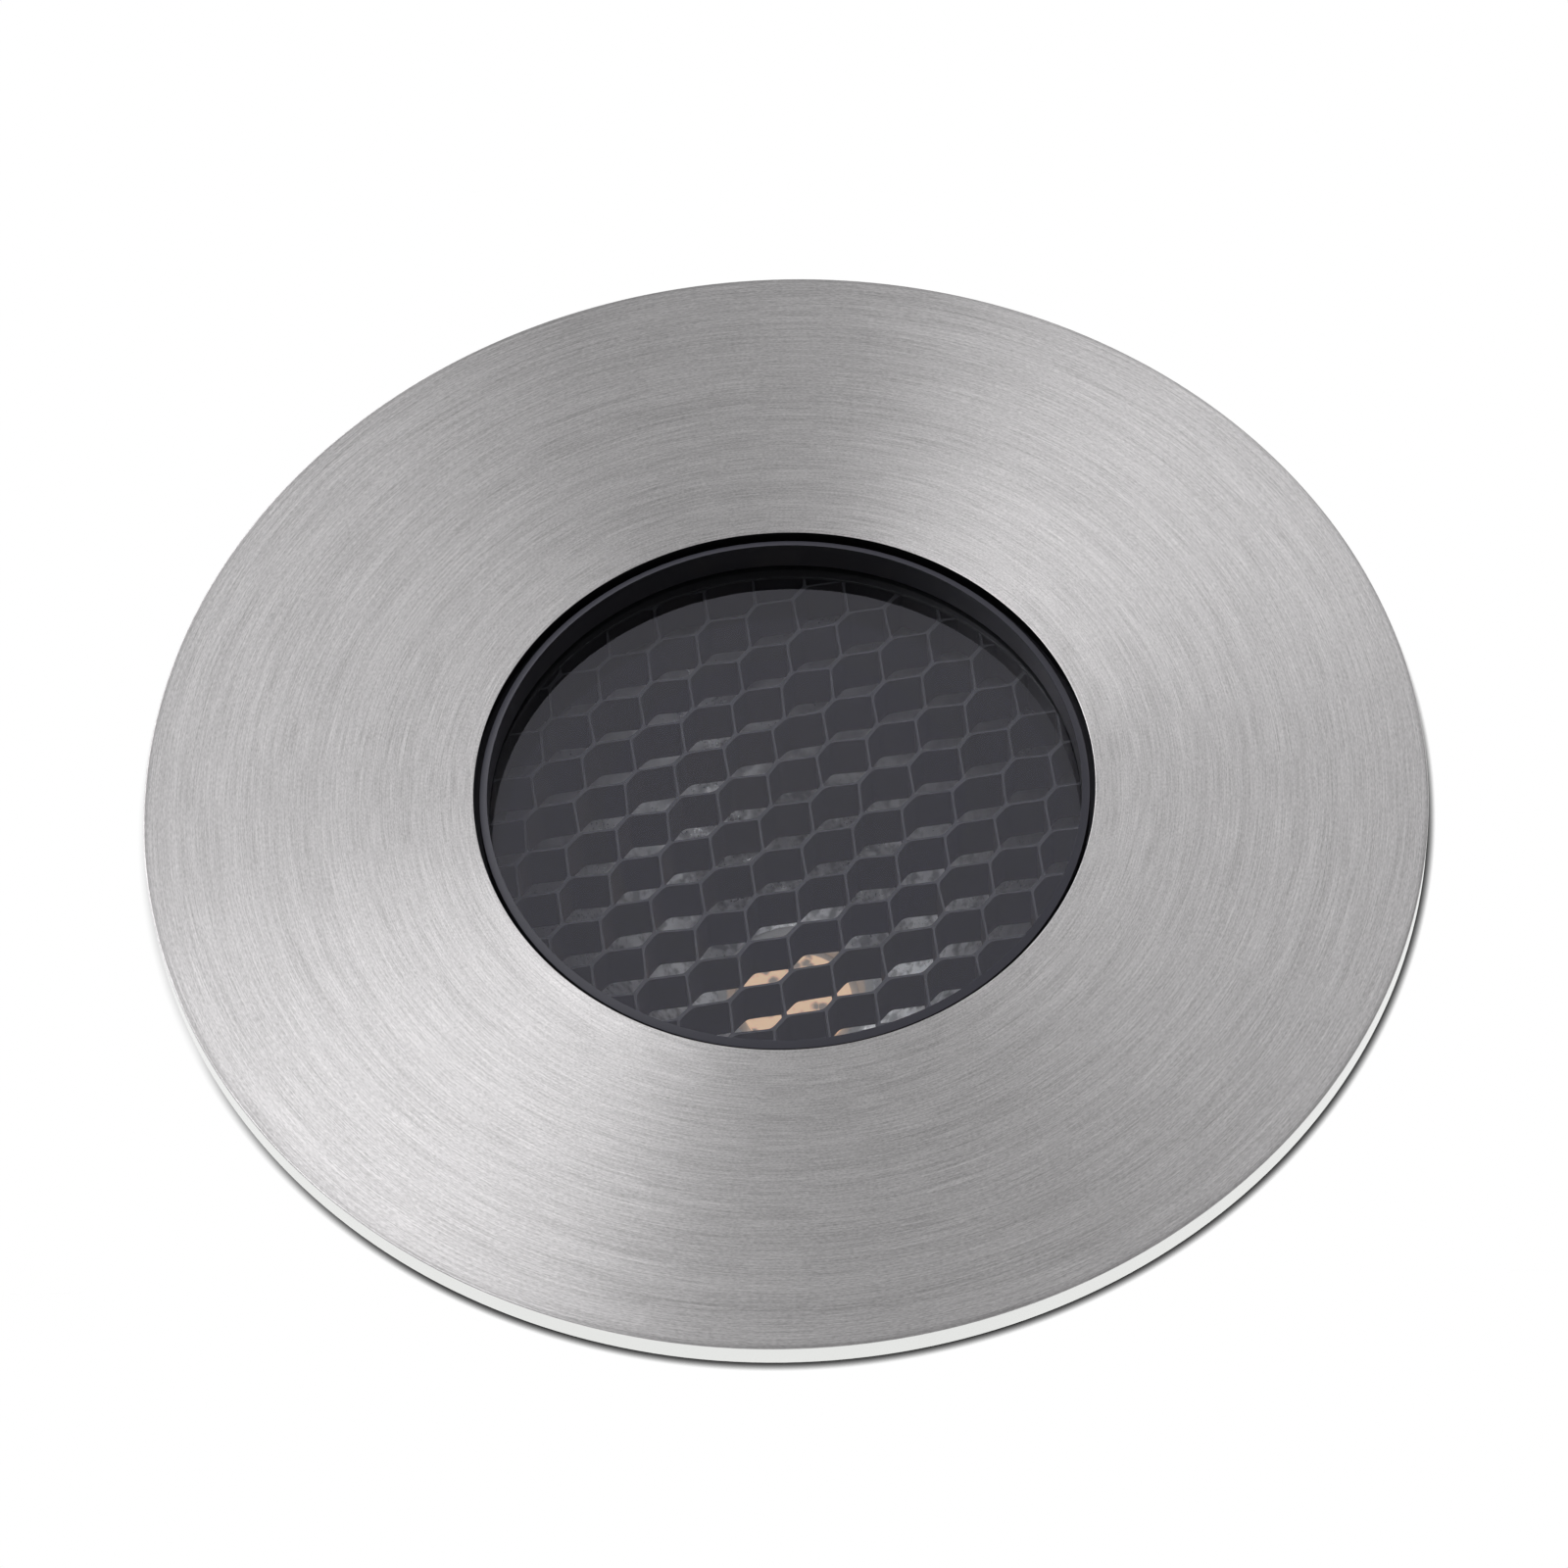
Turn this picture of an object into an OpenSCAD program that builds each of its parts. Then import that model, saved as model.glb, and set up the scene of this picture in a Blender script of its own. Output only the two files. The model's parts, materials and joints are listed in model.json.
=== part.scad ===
// Recessed outdoor spotlight. A flat brushed steel bezel covers a finned
// housing. In front lie a black collar, a sealed glass, a honeycomb louver, a
// hammered reflector and an array light source on a heat sink. Behind them is
// a driver, closed in by a rear cover with a cable gland. Two sprung clips
// hold the light in a round hole in a panel. Sizes are in millimetres. The
// origin is the centre of the mounting plane, where the bezel lies on the
// panel, and the light shines towards +Z.

/* [Bezel] */
// Outer diameter of the steel bezel
bezel_d = 110; // [108:1:130]
// Thickness of the bezel
bezel_t = 2.4; // [2:0.1:4]
// Diameter of the opening in the bezel
opening_d = 53.3; // [50:0.1:56]
// Chamfer along the bezel's upper edges
bezel_edge = 0.3; // [0.1:0.05:0.6]
// Width of the gasket under the bezel
bezel_gasket_w = 6.6; // [3:0.1:7]
// Thickness of the gasket under the bezel
bezel_gasket_t = 0.9; // [0.5:0.1:1.4]
// Diameter of the weld studs that hold the bezel
stud_d = 3; // [2.5:0.1:3.6]

/* [Collar and glass] */
// Gap between the bezel's opening and the black collar
collar_gap = 0.45; // [0.2:0.05:0.8]
// Width of the collar's visible lip
collar_lip = 0.7; // [0.5:0.1:1.5]
// How far the lip's inner edge lies below the bezel's face
collar_drop = 0.35; // [0.1:0.05:1]
// How far the lip slopes down towards its outer edge
collar_slope = 0.32; // [0:0.02:0.6]
// Thickness of the collar's hidden flange
collar_flange_t = 1; // [1:0.1:2.5]
// Thickness of the toughened glass
glass_t = 4; // [3:0.5:8]
// How far the glass reaches under the collar
glass_overlap = 2.5; // [1.5:0.1:3]
// Thickness of the rubber seal on each face of the glass
seal_t = 0.3; // [0.3:0.1:1.2]
// Width of the rubber seal around the glass's edge
seal_side = 1.1; // [0.8:0.1:1.6]

/* [Louver] */
// Height of the honeycomb louver
louver_h = 5.2; // [3:0.1:12]
// Width of one cell across its flats
cell_w = 4.68; // [3.5:0.01:8]
// Thickness of the honeycomb foil
foil_t = 0.12; // [0.08:0.02:0.3]
// Length of the side along which two foils are glued
cell_glue = 1.75; // [1.2:0.05:2.7]
// Turn of the honeycomb about the light's axis, in degrees
louver_turn = 19.7; // [0:0.1:60]
// Thickness of the hoop around the honeycomb
hoop_t = 0.5; // [0.3:0.1:0.8]

/* [Reflector and light source] */
// Height of the reflector
reflector_h = 22; // [12:0.1:30]
// Thickness of the reflector's sheet
reflector_t = 0.8; // [0.5:0.1:1]
// Diameter of the hole at the reflector's bottom
throat_d = 14; // [14:0.5:22]
// Width of the array light source's square board
array_w = 19; // [13:0.5:20]
// Thickness of the array light source's board
array_t = 1; // [0.8:0.1:1.2]
// Diameter of the array's yellow emitting disc
emitter_d = 10; // [6:0.5:13]
// Diameter of the white holder that clamps the array
holder_d = 35; // [33:0.5:40]
// Height of the white holder
holder_h = 3; // [2.6:0.1:5]

/* [Housing] */
// Thickness of the housing's front flange, which fills the panel's hole
flange_t = 6; // [5:0.5:8]
// Thickness of the housing's wall behind the glass and round the driver
wall_t = 3; // [2.6:0.1:4]
// Number of cooling fins round the barrel
fin_count = 6; // [3:1:7]
// Distance from one fin to the next
fin_pitch = 4; // [3.6:0.1:4.5]
// Width of the groove between two fins
fin_gap = 2.4; // [1.6:0.1:2.8]
// Depth of the groove between two fins
fin_depth = 2; // [1:0.1:2.2]
// Thickness of the heat sink plate
sink_t = 3.5; // [3:0.5:6]
// Width of the flange that takes the rear cover's screws
rear_flange_w = 3; // [3:0.1:5]

/* [Driver] */
// Distance from the heat sink to the driver's board
standoff_l = 8.5; // [6:0.5:14]
// Thickness of the driver's board
board_t = 1.6; // [1:0.1:2]
// Room for the driver's components under its board
driver_room = 12.4; // [12:0.1:20]
// Diameter of the driver's board
board_d = 54; // [50:0.5:55]

/* [Rear cover and gland] */
// Thickness of the rear cover
cover_t = 4; // [3:0.5:6]
// Height of the ring on the cover that carries the seal
cover_spigot_h = 4; // [3:0.5:6]
// Thread diameter of the cable gland
gland_d = 16; // [14:0.5:20]
// Diameter of the cable that the gland takes
cable_d = 7; // [4:0.5:8]
// Length of the gland's dome nut
gland_nut_l = 12; // [10:0.5:16]

/* [Clips] */
// Thickness of the panel on which the clips rest
panel_t = 12; // [11:0.5:14]
// Length of a clip's arm from its pivot
arm_l = 14.6; // [12:0.1:15]
// Width of a clip's arm at its pivot
arm_w = 13; // [12:0.5:14]
// Thickness of the clips' sheet steel
clip_t = 1; // [0.8:0.1:1.2]
// Diameter of a clip's pivot pin
pin_d = 2; // [1.6:0.1:2.2]
// Diameter of a clip spring's wire
wire_d = 0.6; // [0.5:0.05:0.7]
// Number of full turns in a clip spring
spring_turns = 3; // [2:1:3]
// Distance from one turn of a clip spring to the next
spring_pitch = 1.04; // [1:0.01:1.2]

/* [Hidden] */
$fn = 96;

// Clearances between pieces
slip = 0.1;
loose = 0.3;
thread_gap = 0.05;
running_gap = 0.05;

// How far a cut runs past the face that it opens, and the sides of small circles
cut = 1;
few = 32;
some = 48;

// Radii, from the opening outwards
opening_r = opening_d / 2;
collar_or = opening_r - collar_gap;
collar_ir = collar_or - collar_lip;
glass_r = collar_ir + glass_overlap;
seal_r = glass_r + slip + seal_side;
pocket_r = seal_r + 2 * slip;
seal_lip_r = collar_ir + 0.6;
hoop_or = seal_lip_r + 1;
hoop_ir = hoop_or - hoop_t;
louver_bore_r = hoop_or + 2 * slip;
foil_r = hoop_ir - slip;
mouth_r = hoop_ir - 1.4;
chamber_r = mouth_r + reflector_t + 4 * slip;
collar_screw_d = 2;
collar_screw_r = pocket_r + 2.2;
collar_flange_r = collar_screw_r + 2.4;
barrel_r = pocket_r + wall_t + 1.1;
stud_circle_r = barrel_r + stud_d / 2 + 2.4;
spigot_r = stud_circle_r + stud_d / 2 + 2.6;
driver_r = barrel_r - wall_t;
rear_flange_r = barrel_r + rear_flange_w;
bezel_r = bezel_d / 2;
gasket_r = spigot_r + 1.5 + bezel_gasket_w;

// Heights, from the mounting plane downwards
z_collar = -collar_flange_t;
z_glass_top = z_collar - seal_t;
z_glass_bottom = z_glass_top - glass_t;
z_seat = z_glass_bottom - seal_t;
z_louver_bottom = z_seat - louver_h;
z_reflector_seat = z_louver_bottom - reflector_t;
z_throat = z_louver_bottom - reflector_h;
z_holder_top = z_throat - slip;
z_sink_top = z_holder_top - holder_h;
z_sink_bottom = z_sink_top - sink_t;
z_board_top = z_sink_bottom - standoff_l;
z_board_bottom = z_board_top - board_t;
z_rear = z_board_bottom - driver_room;
z_cover = z_rear - cover_t;

// Screws: M3 for the heavy joints, M2.5 for the brackets and the holder
m3_r = 1.45;
m3_hole_r = m3_r + thread_gap;
m3_clear_r = 1.65;
m3_head_r = 2.75;
m3_head_h = 1.8;
m25_r = 1.2;
m25_hole_r = m25_r + thread_gap;
m25_clear_r = 1.35;
m25_head_r = 2.1;
m25_head_h = 1.4;

stud_r = stud_d / 2;
stud_angles = [45, 135, 225, 315];
stud_chamfer = 0.3;
stud_washer_t = 0.5;
stud_washer_w = 1.8;
stud_nut_h = 2.4;
stud_nut_w = 1.65;
stud_l = flange_t + stud_washer_t + stud_nut_h + 1.1;
collar_head_r = 1.8;
collar_screw_sunk = 0.15;
collar_screw_l = collar_flange_t + 3.2;
collar_screw_angles = [0, 90, 180, 270];
sink_screw_r = driver_r - m25_head_r - 0.2;
sink_screw_angles = [30, 150, 270];
cover_screw_r = driver_r + rear_flange_w;
cover_screw_angles = [45, 135, 225, 315];
rear_flange_t = 5;
fin_start = 3;

// Light source
pad_t = 0.3;
z_array_bottom = z_sink_top + pad_t;
z_array_top = z_array_bottom + array_t;
emitter_t = 0.5;
holder_screw_x = holder_d / 2 - 3.2;
lead_r = 0.75;
lead_x = 1.1;
lead_bend_r = 2;
lead_y = holder_d / 2 + 3.5;
grommet_r = 3.2;
grommet_neck_r = 2.4;
grommet_lip_t = 0.8;

// Driver
standoff_circle_r = board_d / 2 - 5;
standoff_angles = [0, 125, 235];
standoff_af = 5;
solder_h = 0.2;
terminal_pitch = 5;
terminal_w = 7;
terminal_h = 8;
terminal_y = -22.5;
terminal_hole_r = 1.7;

// Groove for the seal in the cover's ring
seal_groove = 1.2;
seal_groove_h = 1.4;

// Gland
gland_r = gland_d / 2;
hex_r = gland_r + 2.9;
gland_washer_t = 0.8;
gland_hex_h = 5;
gland_bore_r = cable_d / 2 + 2.4;
gland_step = 0.6;
gland_boss_w = 2;
gland_boss_h = 1;
insert_l = 10;
z_hex_top = z_cover - gland_washer_t;
z_hex_bottom = z_hex_top - gland_hex_h;
insert_seat = 1.6;
z_insert_bottom = z_hex_bottom - insert_l + insert_seat;
z_nut_top = z_hex_bottom - loose;
z_nut_bottom = z_nut_top - gland_nut_l;

// Clips: each is drawn about its pivot, with its arm towards +X
wire_r = wire_d / 2;
pin_r = pin_d / 2;
coil_gap = 0.35;
coil_r = pin_r + wire_r + coil_gap;
base_x = -(coil_r + wire_r + thread_gap);
arm_under = coil_r + wire_r + 0.15;
tip_rise = 0.5;
arm_top = arm_under + clip_t + tip_rise;
eye_r = pin_r + 0.9;
ear_r = eye_r + loose;
pad_x = barrel_r + loose;
pivot_x = pad_x + clip_t - base_x;
pivot_z = -panel_t - arm_top;
ear_y = arm_w / 2 + loose;
base_w = 2 * (ear_y + clip_t);
base_low = -12;
base_high = ear_r + 1.3;
pad_edge = 0.8;
bracket_screw_y = ear_y - m25_head_r - 0.2;
bracket_screw_z = -8.5;
bracket_screw_bite = 3.4;
cheek_l = 7;
tip_w = arm_w - 2;
tip_l = 4.4;
tip_wall = 0.6;
tip_under = 0.5;
spring_steps = 8;

// What a hole from one height to another takes away, past both of its faces
module bore(radius, low, high, sides = few) {
    translate([0, 0, low - cut]) cylinder(r = radius, h = high - low + 2 * cut, $fn = sides);
}

module disc(radius, low, high, sides = $fn) {
    translate([0, 0, low]) cylinder(r = radius, h = high - low, $fn = sides);
}

module ring(outer_r, inner_r, low, high, sides = $fn) {
    difference() {
        disc(outer_r, low, high, sides);
        bore(inner_r, low, high, sides);
    }
}

// A screw with its head under the plane z = 0 and its shank towards +Z
module screw(shank_r, shank_l, head_r, head_h) {
    difference() {
        union() {
            disc(shank_r, 0, shank_l, few);
            disc(head_r, -head_h, 0, some);
        }
        disc(head_r / 2, -head_h - cut, -head_h / 2, 6);
    }
}

// A countersunk screw, flush with z = 0, its shank towards -Z
module countersunk_screw(shank_r, shank_l, head_r) {
    difference() {
        union() {
            disc(shank_r, -shank_l, 0, few);
            translate([0, 0, shank_r - head_r])
                cylinder(r1 = shank_r, r2 = head_r, h = head_r - shank_r, $fn = some);
        }
        disc(shank_r * 0.7, -0.6, cut, 6);
    }
}

// Copies its children onto a circle
module around(radius, angles) {
    for (a = angles) rotate([0, 0, a]) translate([radius, 0, 0]) children();
}

// Puts what is drawn about a pivot on one side of the housing
module on_side(turn) {
    rotate([0, 0, turn]) translate([pivot_x, 0, pivot_z]) children();
}

module bezel_ring() {
    color("#b9b8b5") difference() {
        rotate_extrude() polygon([
            [opening_r, 0], [bezel_r, 0], [bezel_r, bezel_t - bezel_edge],
            [bezel_r - bezel_edge, bezel_t], [opening_r + bezel_edge, bezel_t],
            [opening_r, bezel_t - bezel_edge],
        ]);
        ring(gasket_r + slip, gasket_r - bezel_gasket_w - slip, -cut, bezel_gasket_t);
    }
}

module bezel_gasket() {
    color("#26272a") ring(gasket_r, gasket_r - bezel_gasket_w, 0, bezel_gasket_t);
}

module bezel_studs() {
    color("#b5b4b0") around(stud_circle_r, stud_angles)
        union() {
            translate([0, 0, -stud_l]) cylinder(r1 = stud_r - thread_gap - stud_chamfer,
                r2 = stud_r - thread_gap, h = stud_chamfer, $fn = few);
            disc(stud_r - thread_gap, stud_chamfer - stud_l, 0, few);
        }
}

module bezel_washers() {
    color("#c9c8c4") around(stud_circle_r, stud_angles)
        ring(stud_r + stud_washer_w, stud_r + slip, -flange_t - stud_washer_t, -flange_t);
}

module bezel_nuts() {
    high = -flange_t - stud_washer_t;
    color("#c2c0ba") around(stud_circle_r, stud_angles) difference() {
        disc(stud_r + stud_nut_w, high - stud_nut_h, high, 6);
        bore(stud_r, high - stud_nut_h, high);
    }
}

module glass_collar() {
    lip_high = bezel_t - collar_drop;
    color("#17181a") difference() {
        rotate_extrude() polygon([
            [collar_ir, z_collar], [collar_flange_r, z_collar], [collar_flange_r, 0],
            [collar_or, 0], [collar_or, lip_high - collar_slope], [collar_ir, lip_high],
        ]);
        around(collar_screw_r, collar_screw_angles) {
            bore(collar_screw_d / 2 + collar_screw_sunk, z_collar, 0);
            translate([0, 0, -collar_head_r + 0.7])
                cylinder(r1 = 0.9, r2 = collar_head_r + loose, h = 1.2, $fn = some);
        }
    }
}

module collar_screws() {
    color("#3a3b3d") around(collar_screw_r, collar_screw_angles)
        translate([0, 0, -collar_screw_sunk])
            countersunk_screw(collar_screw_d / 2 - thread_gap, collar_screw_l, collar_head_r);
}

module glass_lens() {
    edge = 0.3;
    color("#c4d2cf", 0.35) rotate_extrude() polygon([
        [0, z_glass_bottom], [glass_r - edge, z_glass_bottom], [glass_r, z_glass_bottom + edge],
        [glass_r, z_glass_top - edge], [glass_r - edge, z_glass_top], [0, z_glass_top],
    ]);
}

module glass_gasket() {
    color("#1d1e20") rotate_extrude() polygon([
        [seal_lip_r, z_seat], [seal_r, z_seat], [seal_r, z_collar], [seal_lip_r, z_collar],
        [seal_lip_r, z_glass_top], [glass_r + slip, z_glass_top],
        [glass_r + slip, z_glass_bottom], [seal_lip_r, z_glass_bottom],
    ]);
}

module louver_hoop() {
    color("#202123") ring(hoop_or, hoop_ir, z_louver_bottom, z_seat);
}

// One cell, with its glued sides along X. From their ends the foils part
function cell_outline() = let(
    high = cell_w / 2,
    reach = cell_w * sin(60) - cell_glue / 2,
    slant = reach - cell_glue / 2,
    inner_high = high - foil_t / 2,
    tip = reach - foil_t / 2 * norm([slant, high]) / high,
    shoulder = tip - slant * inner_high / high)
    [[tip, 0], [shoulder, inner_high], [-shoulder, inner_high],
        [-tip, 0], [-shoulder, -inner_high], [shoulder, -inner_high]];

// Six-sided cells on a lattice whose first row runs along the turned X axis
module honeycomb_louver() {
    rows = ceil(foil_r / cell_w * 1.2);
    row_step = cell_w * sin(60);
    color("#2a2b2d") translate([0, 0, z_louver_bottom + slip]) linear_extrude(louver_h - 2 * slip)
        difference() {
            circle(r = foil_r);
            intersection() {
                circle(r = foil_r - foil_t);
                rotate(louver_turn) for (j = [-rows:rows], i = [-rows:rows])
                    if (norm([(i + (j % 2) / 2) * cell_w, j * row_step]) < foil_r + cell_w * 0.7)
                        translate([(i + (j % 2) / 2) * cell_w, j * row_step]) rotate(30) polygon(cell_outline());
            }
        }
}

// The inner face is a parabola whose focus lies just above the light source
function dish_z(r) = z_throat + (r * r - pow(throat_d / 2, 2))
    / (mouth_r * mouth_r - pow(throat_d / 2, 2)) * reflector_h;

module reflector() {
    steps = 14;
    throat_r = throat_d / 2;
    radii = [for (i = [0:steps]) throat_r + (mouth_r - throat_r) * i / steps];
    inner = [for (r = radii) [r, dish_z(r)]];
    outer = [for (i = [steps:-1:0]) [radii[i] + reflector_t, min(dish_z(radii[i]), z_reflector_seat)]];
    color("#c9cacb") rotate_extrude() polygon(concat(
        inner, [[hoop_or, z_louver_bottom], [hoop_or, z_reflector_seat]], outer));
}

module thermal_pad() {
    color("#6d7074") translate([-array_w / 2, -array_w / 2, z_sink_top]) cube([array_w, array_w, pad_t]);
}

module led_board() {
    color("#e6e6e2") translate([-array_w / 2, -array_w / 2, z_array_bottom]) cube([array_w, array_w, array_t]);
}

module led_phosphor() {
    color("#e0b25a") disc(emitter_d / 2, z_array_top, z_array_top + emitter_t);
}

module led_holder() {
    pocket_w = array_w + 2 * slip;
    pocket_h = pad_t + array_t + slip;
    color("#eeede8") difference() {
        disc(holder_d / 2, z_sink_top, z_holder_top);
        translate([-pocket_w / 2, -pocket_w / 2, z_sink_top - cut]) cube([pocket_w, pocket_w, pocket_h + cut]);
        translate([0, 0, z_array_top])
            cylinder(r1 = emitter_d / 2 + 0.6, r2 = throat_d / 2 - loose, h = holder_h);
        for (side = [-1, 1]) translate([side * holder_screw_x, 0, 0]) {
            bore(m25_clear_r, z_sink_top, z_holder_top);
            disc(m25_head_r + slip, z_holder_top - m25_head_h, z_holder_top + cut, some);
        }
    }
}

module led_holder_screws() {
    color("#c2c0ba") for (side = [-1, 1])
        translate([side * holder_screw_x, 0, z_holder_top - m25_head_h])
            rotate([180, 0, 0])
                screw(m25_r, holder_h - m25_head_h + sink_t - 0.5, m25_head_r, m25_head_h - slip);
}

module heat_sink() {
    color("#a9abad") difference() {
        disc(driver_r - slip, z_sink_bottom, z_sink_top);
        for (side = [-1, 1]) translate([side * holder_screw_x, 0, 0])
            bore(m25_hole_r, z_sink_bottom, z_sink_top);
        translate([0, lead_y, 0]) bore(grommet_neck_r, z_sink_bottom, z_sink_top, some);
        around(sink_screw_r, sink_screw_angles) bore(m25_clear_r, z_sink_bottom, z_sink_top);
        around(standoff_circle_r, standoff_angles) disc(m3_hole_r, z_sink_bottom - cut, z_sink_top - 1, few);
    }
}

module heat_sink_screws() {
    color("#c2c0ba") around(sink_screw_r, sink_screw_angles)
        translate([0, 0, z_sink_bottom]) screw(m25_r, sink_t + 6, m25_head_r, m25_head_h);
}

module lead_grommet() {
    color("#1b1c1e") translate([0, lead_y, 0]) difference() {
        union() {
            disc(grommet_r, z_sink_bottom - grommet_lip_t, z_sink_bottom, some);
            disc(grommet_neck_r - slip, z_sink_bottom, z_sink_top, some);
        }
        for (side = [-1, 1]) translate([side * lead_x, 0, 0])
            bore(lead_r + slip, z_sink_bottom - grommet_lip_t, z_sink_top);
    }
}

// Each lead leaves the holder's side, bends down and drops to the board
module led_leads() {
    exit_y = holder_d / 2 + thread_gap;
    exit_z = z_sink_top + lead_bend_r + slip;
    color("#8c2f2a") for (side = [-1, 1]) translate([side * lead_x, 0, 0]) union() {
        translate([0, exit_y, exit_z]) rotate([-90, 0, 0])
            cylinder(r = lead_r, h = lead_y - lead_bend_r - exit_y, $fn = few);
        translate([0, lead_y - lead_bend_r, exit_z - lead_bend_r]) rotate([90, 0, 90])
            rotate_extrude(angle = 90, $fn = some) translate([lead_bend_r, 0]) circle(r = lead_r, $fn = few);
        translate([0, lead_y, 0]) disc(lead_r, z_board_top, exit_z - lead_bend_r, few);
    }
}

module housing_body() {
    fin_top = -flange_t - fin_start;
    pad_low = pivot_z + base_low - pad_edge;
    pad_w = base_w + 2 * pad_edge;
    color("#2b2c2e") difference() {
        union() {
            disc(spigot_r, -flange_t, 0);
            difference() {
                disc(barrel_r, z_rear, -cut);
                for (i = [0:fin_count - 1]) let(groove_top = fin_top - i * fin_pitch)
                    ring(barrel_r + cut, barrel_r - fin_depth, groove_top - fin_gap, groove_top);
            }
            disc(rear_flange_r, z_rear, z_rear + rear_flange_t);
            for (turn = [0, 180]) rotate([0, 0, turn]) translate([chamber_r + 2, -pad_w / 2, pad_low])
                cube([pad_x - chamber_r - 2, pad_w, -flange_t - pad_low]);
        }
        disc(collar_flange_r + slip, z_collar, cut);
        disc(pocket_r, z_seat, cut);
        disc(louver_bore_r, z_reflector_seat, cut);
        disc(chamber_r, z_sink_top - cut, cut);
        disc(driver_r, z_rear - cut, z_sink_top);
        around(stud_circle_r, stud_angles) bore(stud_r + 2 * slip, -flange_t, 0);
        around(collar_screw_r, collar_screw_angles) disc(collar_screw_d / 2, -collar_screw_l - 0.6, 0, few);
        around(sink_screw_r, sink_screw_angles) disc(m25_hole_r, z_sink_top - cut, z_sink_top + 6.5, few);
        around(cover_screw_r, cover_screw_angles)
            disc(m3_hole_r, z_rear - cut, z_rear + rear_flange_t - 1, few);
        for (turn = [0, 180], side = [-1, 1]) on_side(turn)
            translate([base_x - clip_t - bracket_screw_bite - 0.6, side * bracket_screw_y, bracket_screw_z])
                rotate([0, 90, 0]) cylinder(r = m25_hole_r, h = bracket_screw_bite + 0.6 + cut, $fn = few);
    }
}

module driver_board() {
    color("#1f5a3c") difference() {
        disc(board_d / 2, z_board_bottom, z_board_top);
        around(standoff_circle_r, standoff_angles) bore(m3_clear_r, z_board_bottom, z_board_top);
    }
}

module board_standoffs() {
    color("#b89a55") around(standoff_circle_r, standoff_angles) difference() {
        union() {
            disc(standoff_af / sqrt(3), z_board_top, z_sink_bottom, 6);
            disc(m3_r, z_sink_bottom, z_sink_top - 1.2, few);
        }
        disc(m3_hole_r, z_board_top - cut, z_board_top + 5, few);
    }
}

module board_screws() {
    color("#c2c0ba") around(standoff_circle_r, standoff_angles)
        translate([0, 0, z_board_bottom]) screw(m3_r, board_t + 4, m3_head_r, m3_head_h);
}

// Two E-shaped ferrite halves round a taped winding
module driver_transformer() {
    core = [15, 12, 9.4];
    winding = [10, 15, 6.4];
    yoke_t = 1.5;
    leg_w = 0.8;
    color("#3b3a38") translate([-13, 2, z_board_bottom - solder_h]) union() {
        translate([-core[0] / 2, -core[1] / 2, -core[2]]) cube(core);
        translate([-winding[0] / 2, -winding[1] / 2, -winding[2] - yoke_t]) cube(winding);
        for (x = [-5, 5], y = [-7, 7]) translate([x - leg_w / 2, y - leg_w / 2, -2 * yoke_t])
            cube([leg_w, leg_w, 2 * yoke_t + solder_h]);
    }
}

// Each can's place on the board, its radius and its height
module driver_capacitors() {
    cans = [[11, -8, 4.5, 9.5], [12, 4, 3.2, 8], [5, 12, 2.6, 7]];
    crimp_high = 0.8;
    crimp_low = 1.4;
    crimp_depth = 0.25;
    color("#28303c") for (c = cans) translate([c[0], c[1], z_board_bottom]) difference() {
        disc(c[2], -c[3], 0, some);
        ring(c[2] + cut, c[2] - crimp_depth, -crimp_low, -crimp_high, some);
    }
}

// Wound drums with a flange at each end
module driver_chokes() {
    flange_r = 3.2;
    flange = 0.8;
    winding_r = 2.7;
    choke_h = 6.2;
    color("#7c4a2d") for (place = [[-2, -8], [-10, -9.5]])
        translate([place[0], place[1], z_board_bottom]) union() {
        disc(flange_r, -flange, 0, some);
        disc(winding_r, flange - choke_h, -flange, some);
        disc(flange_r, -choke_h, flange - choke_h, some);
    }
}

// Three ways, each with a screw from below and a wire hole at the board's edge
module terminal_block() {
    wire_hole_w = 2.8;
    screw_depth = 3;
    color("#2f7a4f") translate([0, terminal_y, z_board_bottom - terminal_h]) difference() {
        translate([-1.5 * terminal_pitch, 0, 0]) cube([3 * terminal_pitch, terminal_w, terminal_h]);
        for (i = [-1:1]) translate([i * terminal_pitch, terminal_w / 2, 0]) {
            disc(terminal_hole_r, -cut, screw_depth, few);
            translate([-wire_hole_w / 2, -terminal_w / 2 - cut, screw_depth + 0.6])
                cube([wire_hole_w, terminal_w / 2 + 2 * cut, wire_hole_w]);
        }
    }
}

module terminal_screws() {
    slot_w = 0.5;
    color("#c9c8c4") for (i = [-1:1])
        translate([i * terminal_pitch, terminal_y + terminal_w / 2, z_board_bottom - terminal_h + 0.4])
            difference() {
                disc(terminal_hole_r - 2 * slip, 0, 2.5, few);
                translate([-2, -slot_w / 2, -slot_w]) cube([4, slot_w, 2 * slot_w]);
            }
}

module rear_cover() {
    spigot_or = driver_r - loose / 2;
    spigot_wall = 3;
    groove_z = z_rear + cover_spigot_h / 2;
    color("#2b2c2e") difference() {
        union() {
            disc(rear_flange_r, z_cover, z_rear);
            ring(spigot_or, spigot_or - spigot_wall, z_rear, z_rear + cover_spigot_h);
            disc(hex_r + gland_boss_w, z_cover, z_rear + gland_boss_h);
        }
        ring(spigot_or + cut, spigot_or - seal_groove,
            groove_z - seal_groove_h / 2, groove_z + seal_groove_h / 2);
        bore(gland_r, z_cover, z_rear + gland_boss_h);
        around(cover_screw_r, cover_screw_angles) bore(m3_clear_r, z_cover, z_rear);
    }
}

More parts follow.
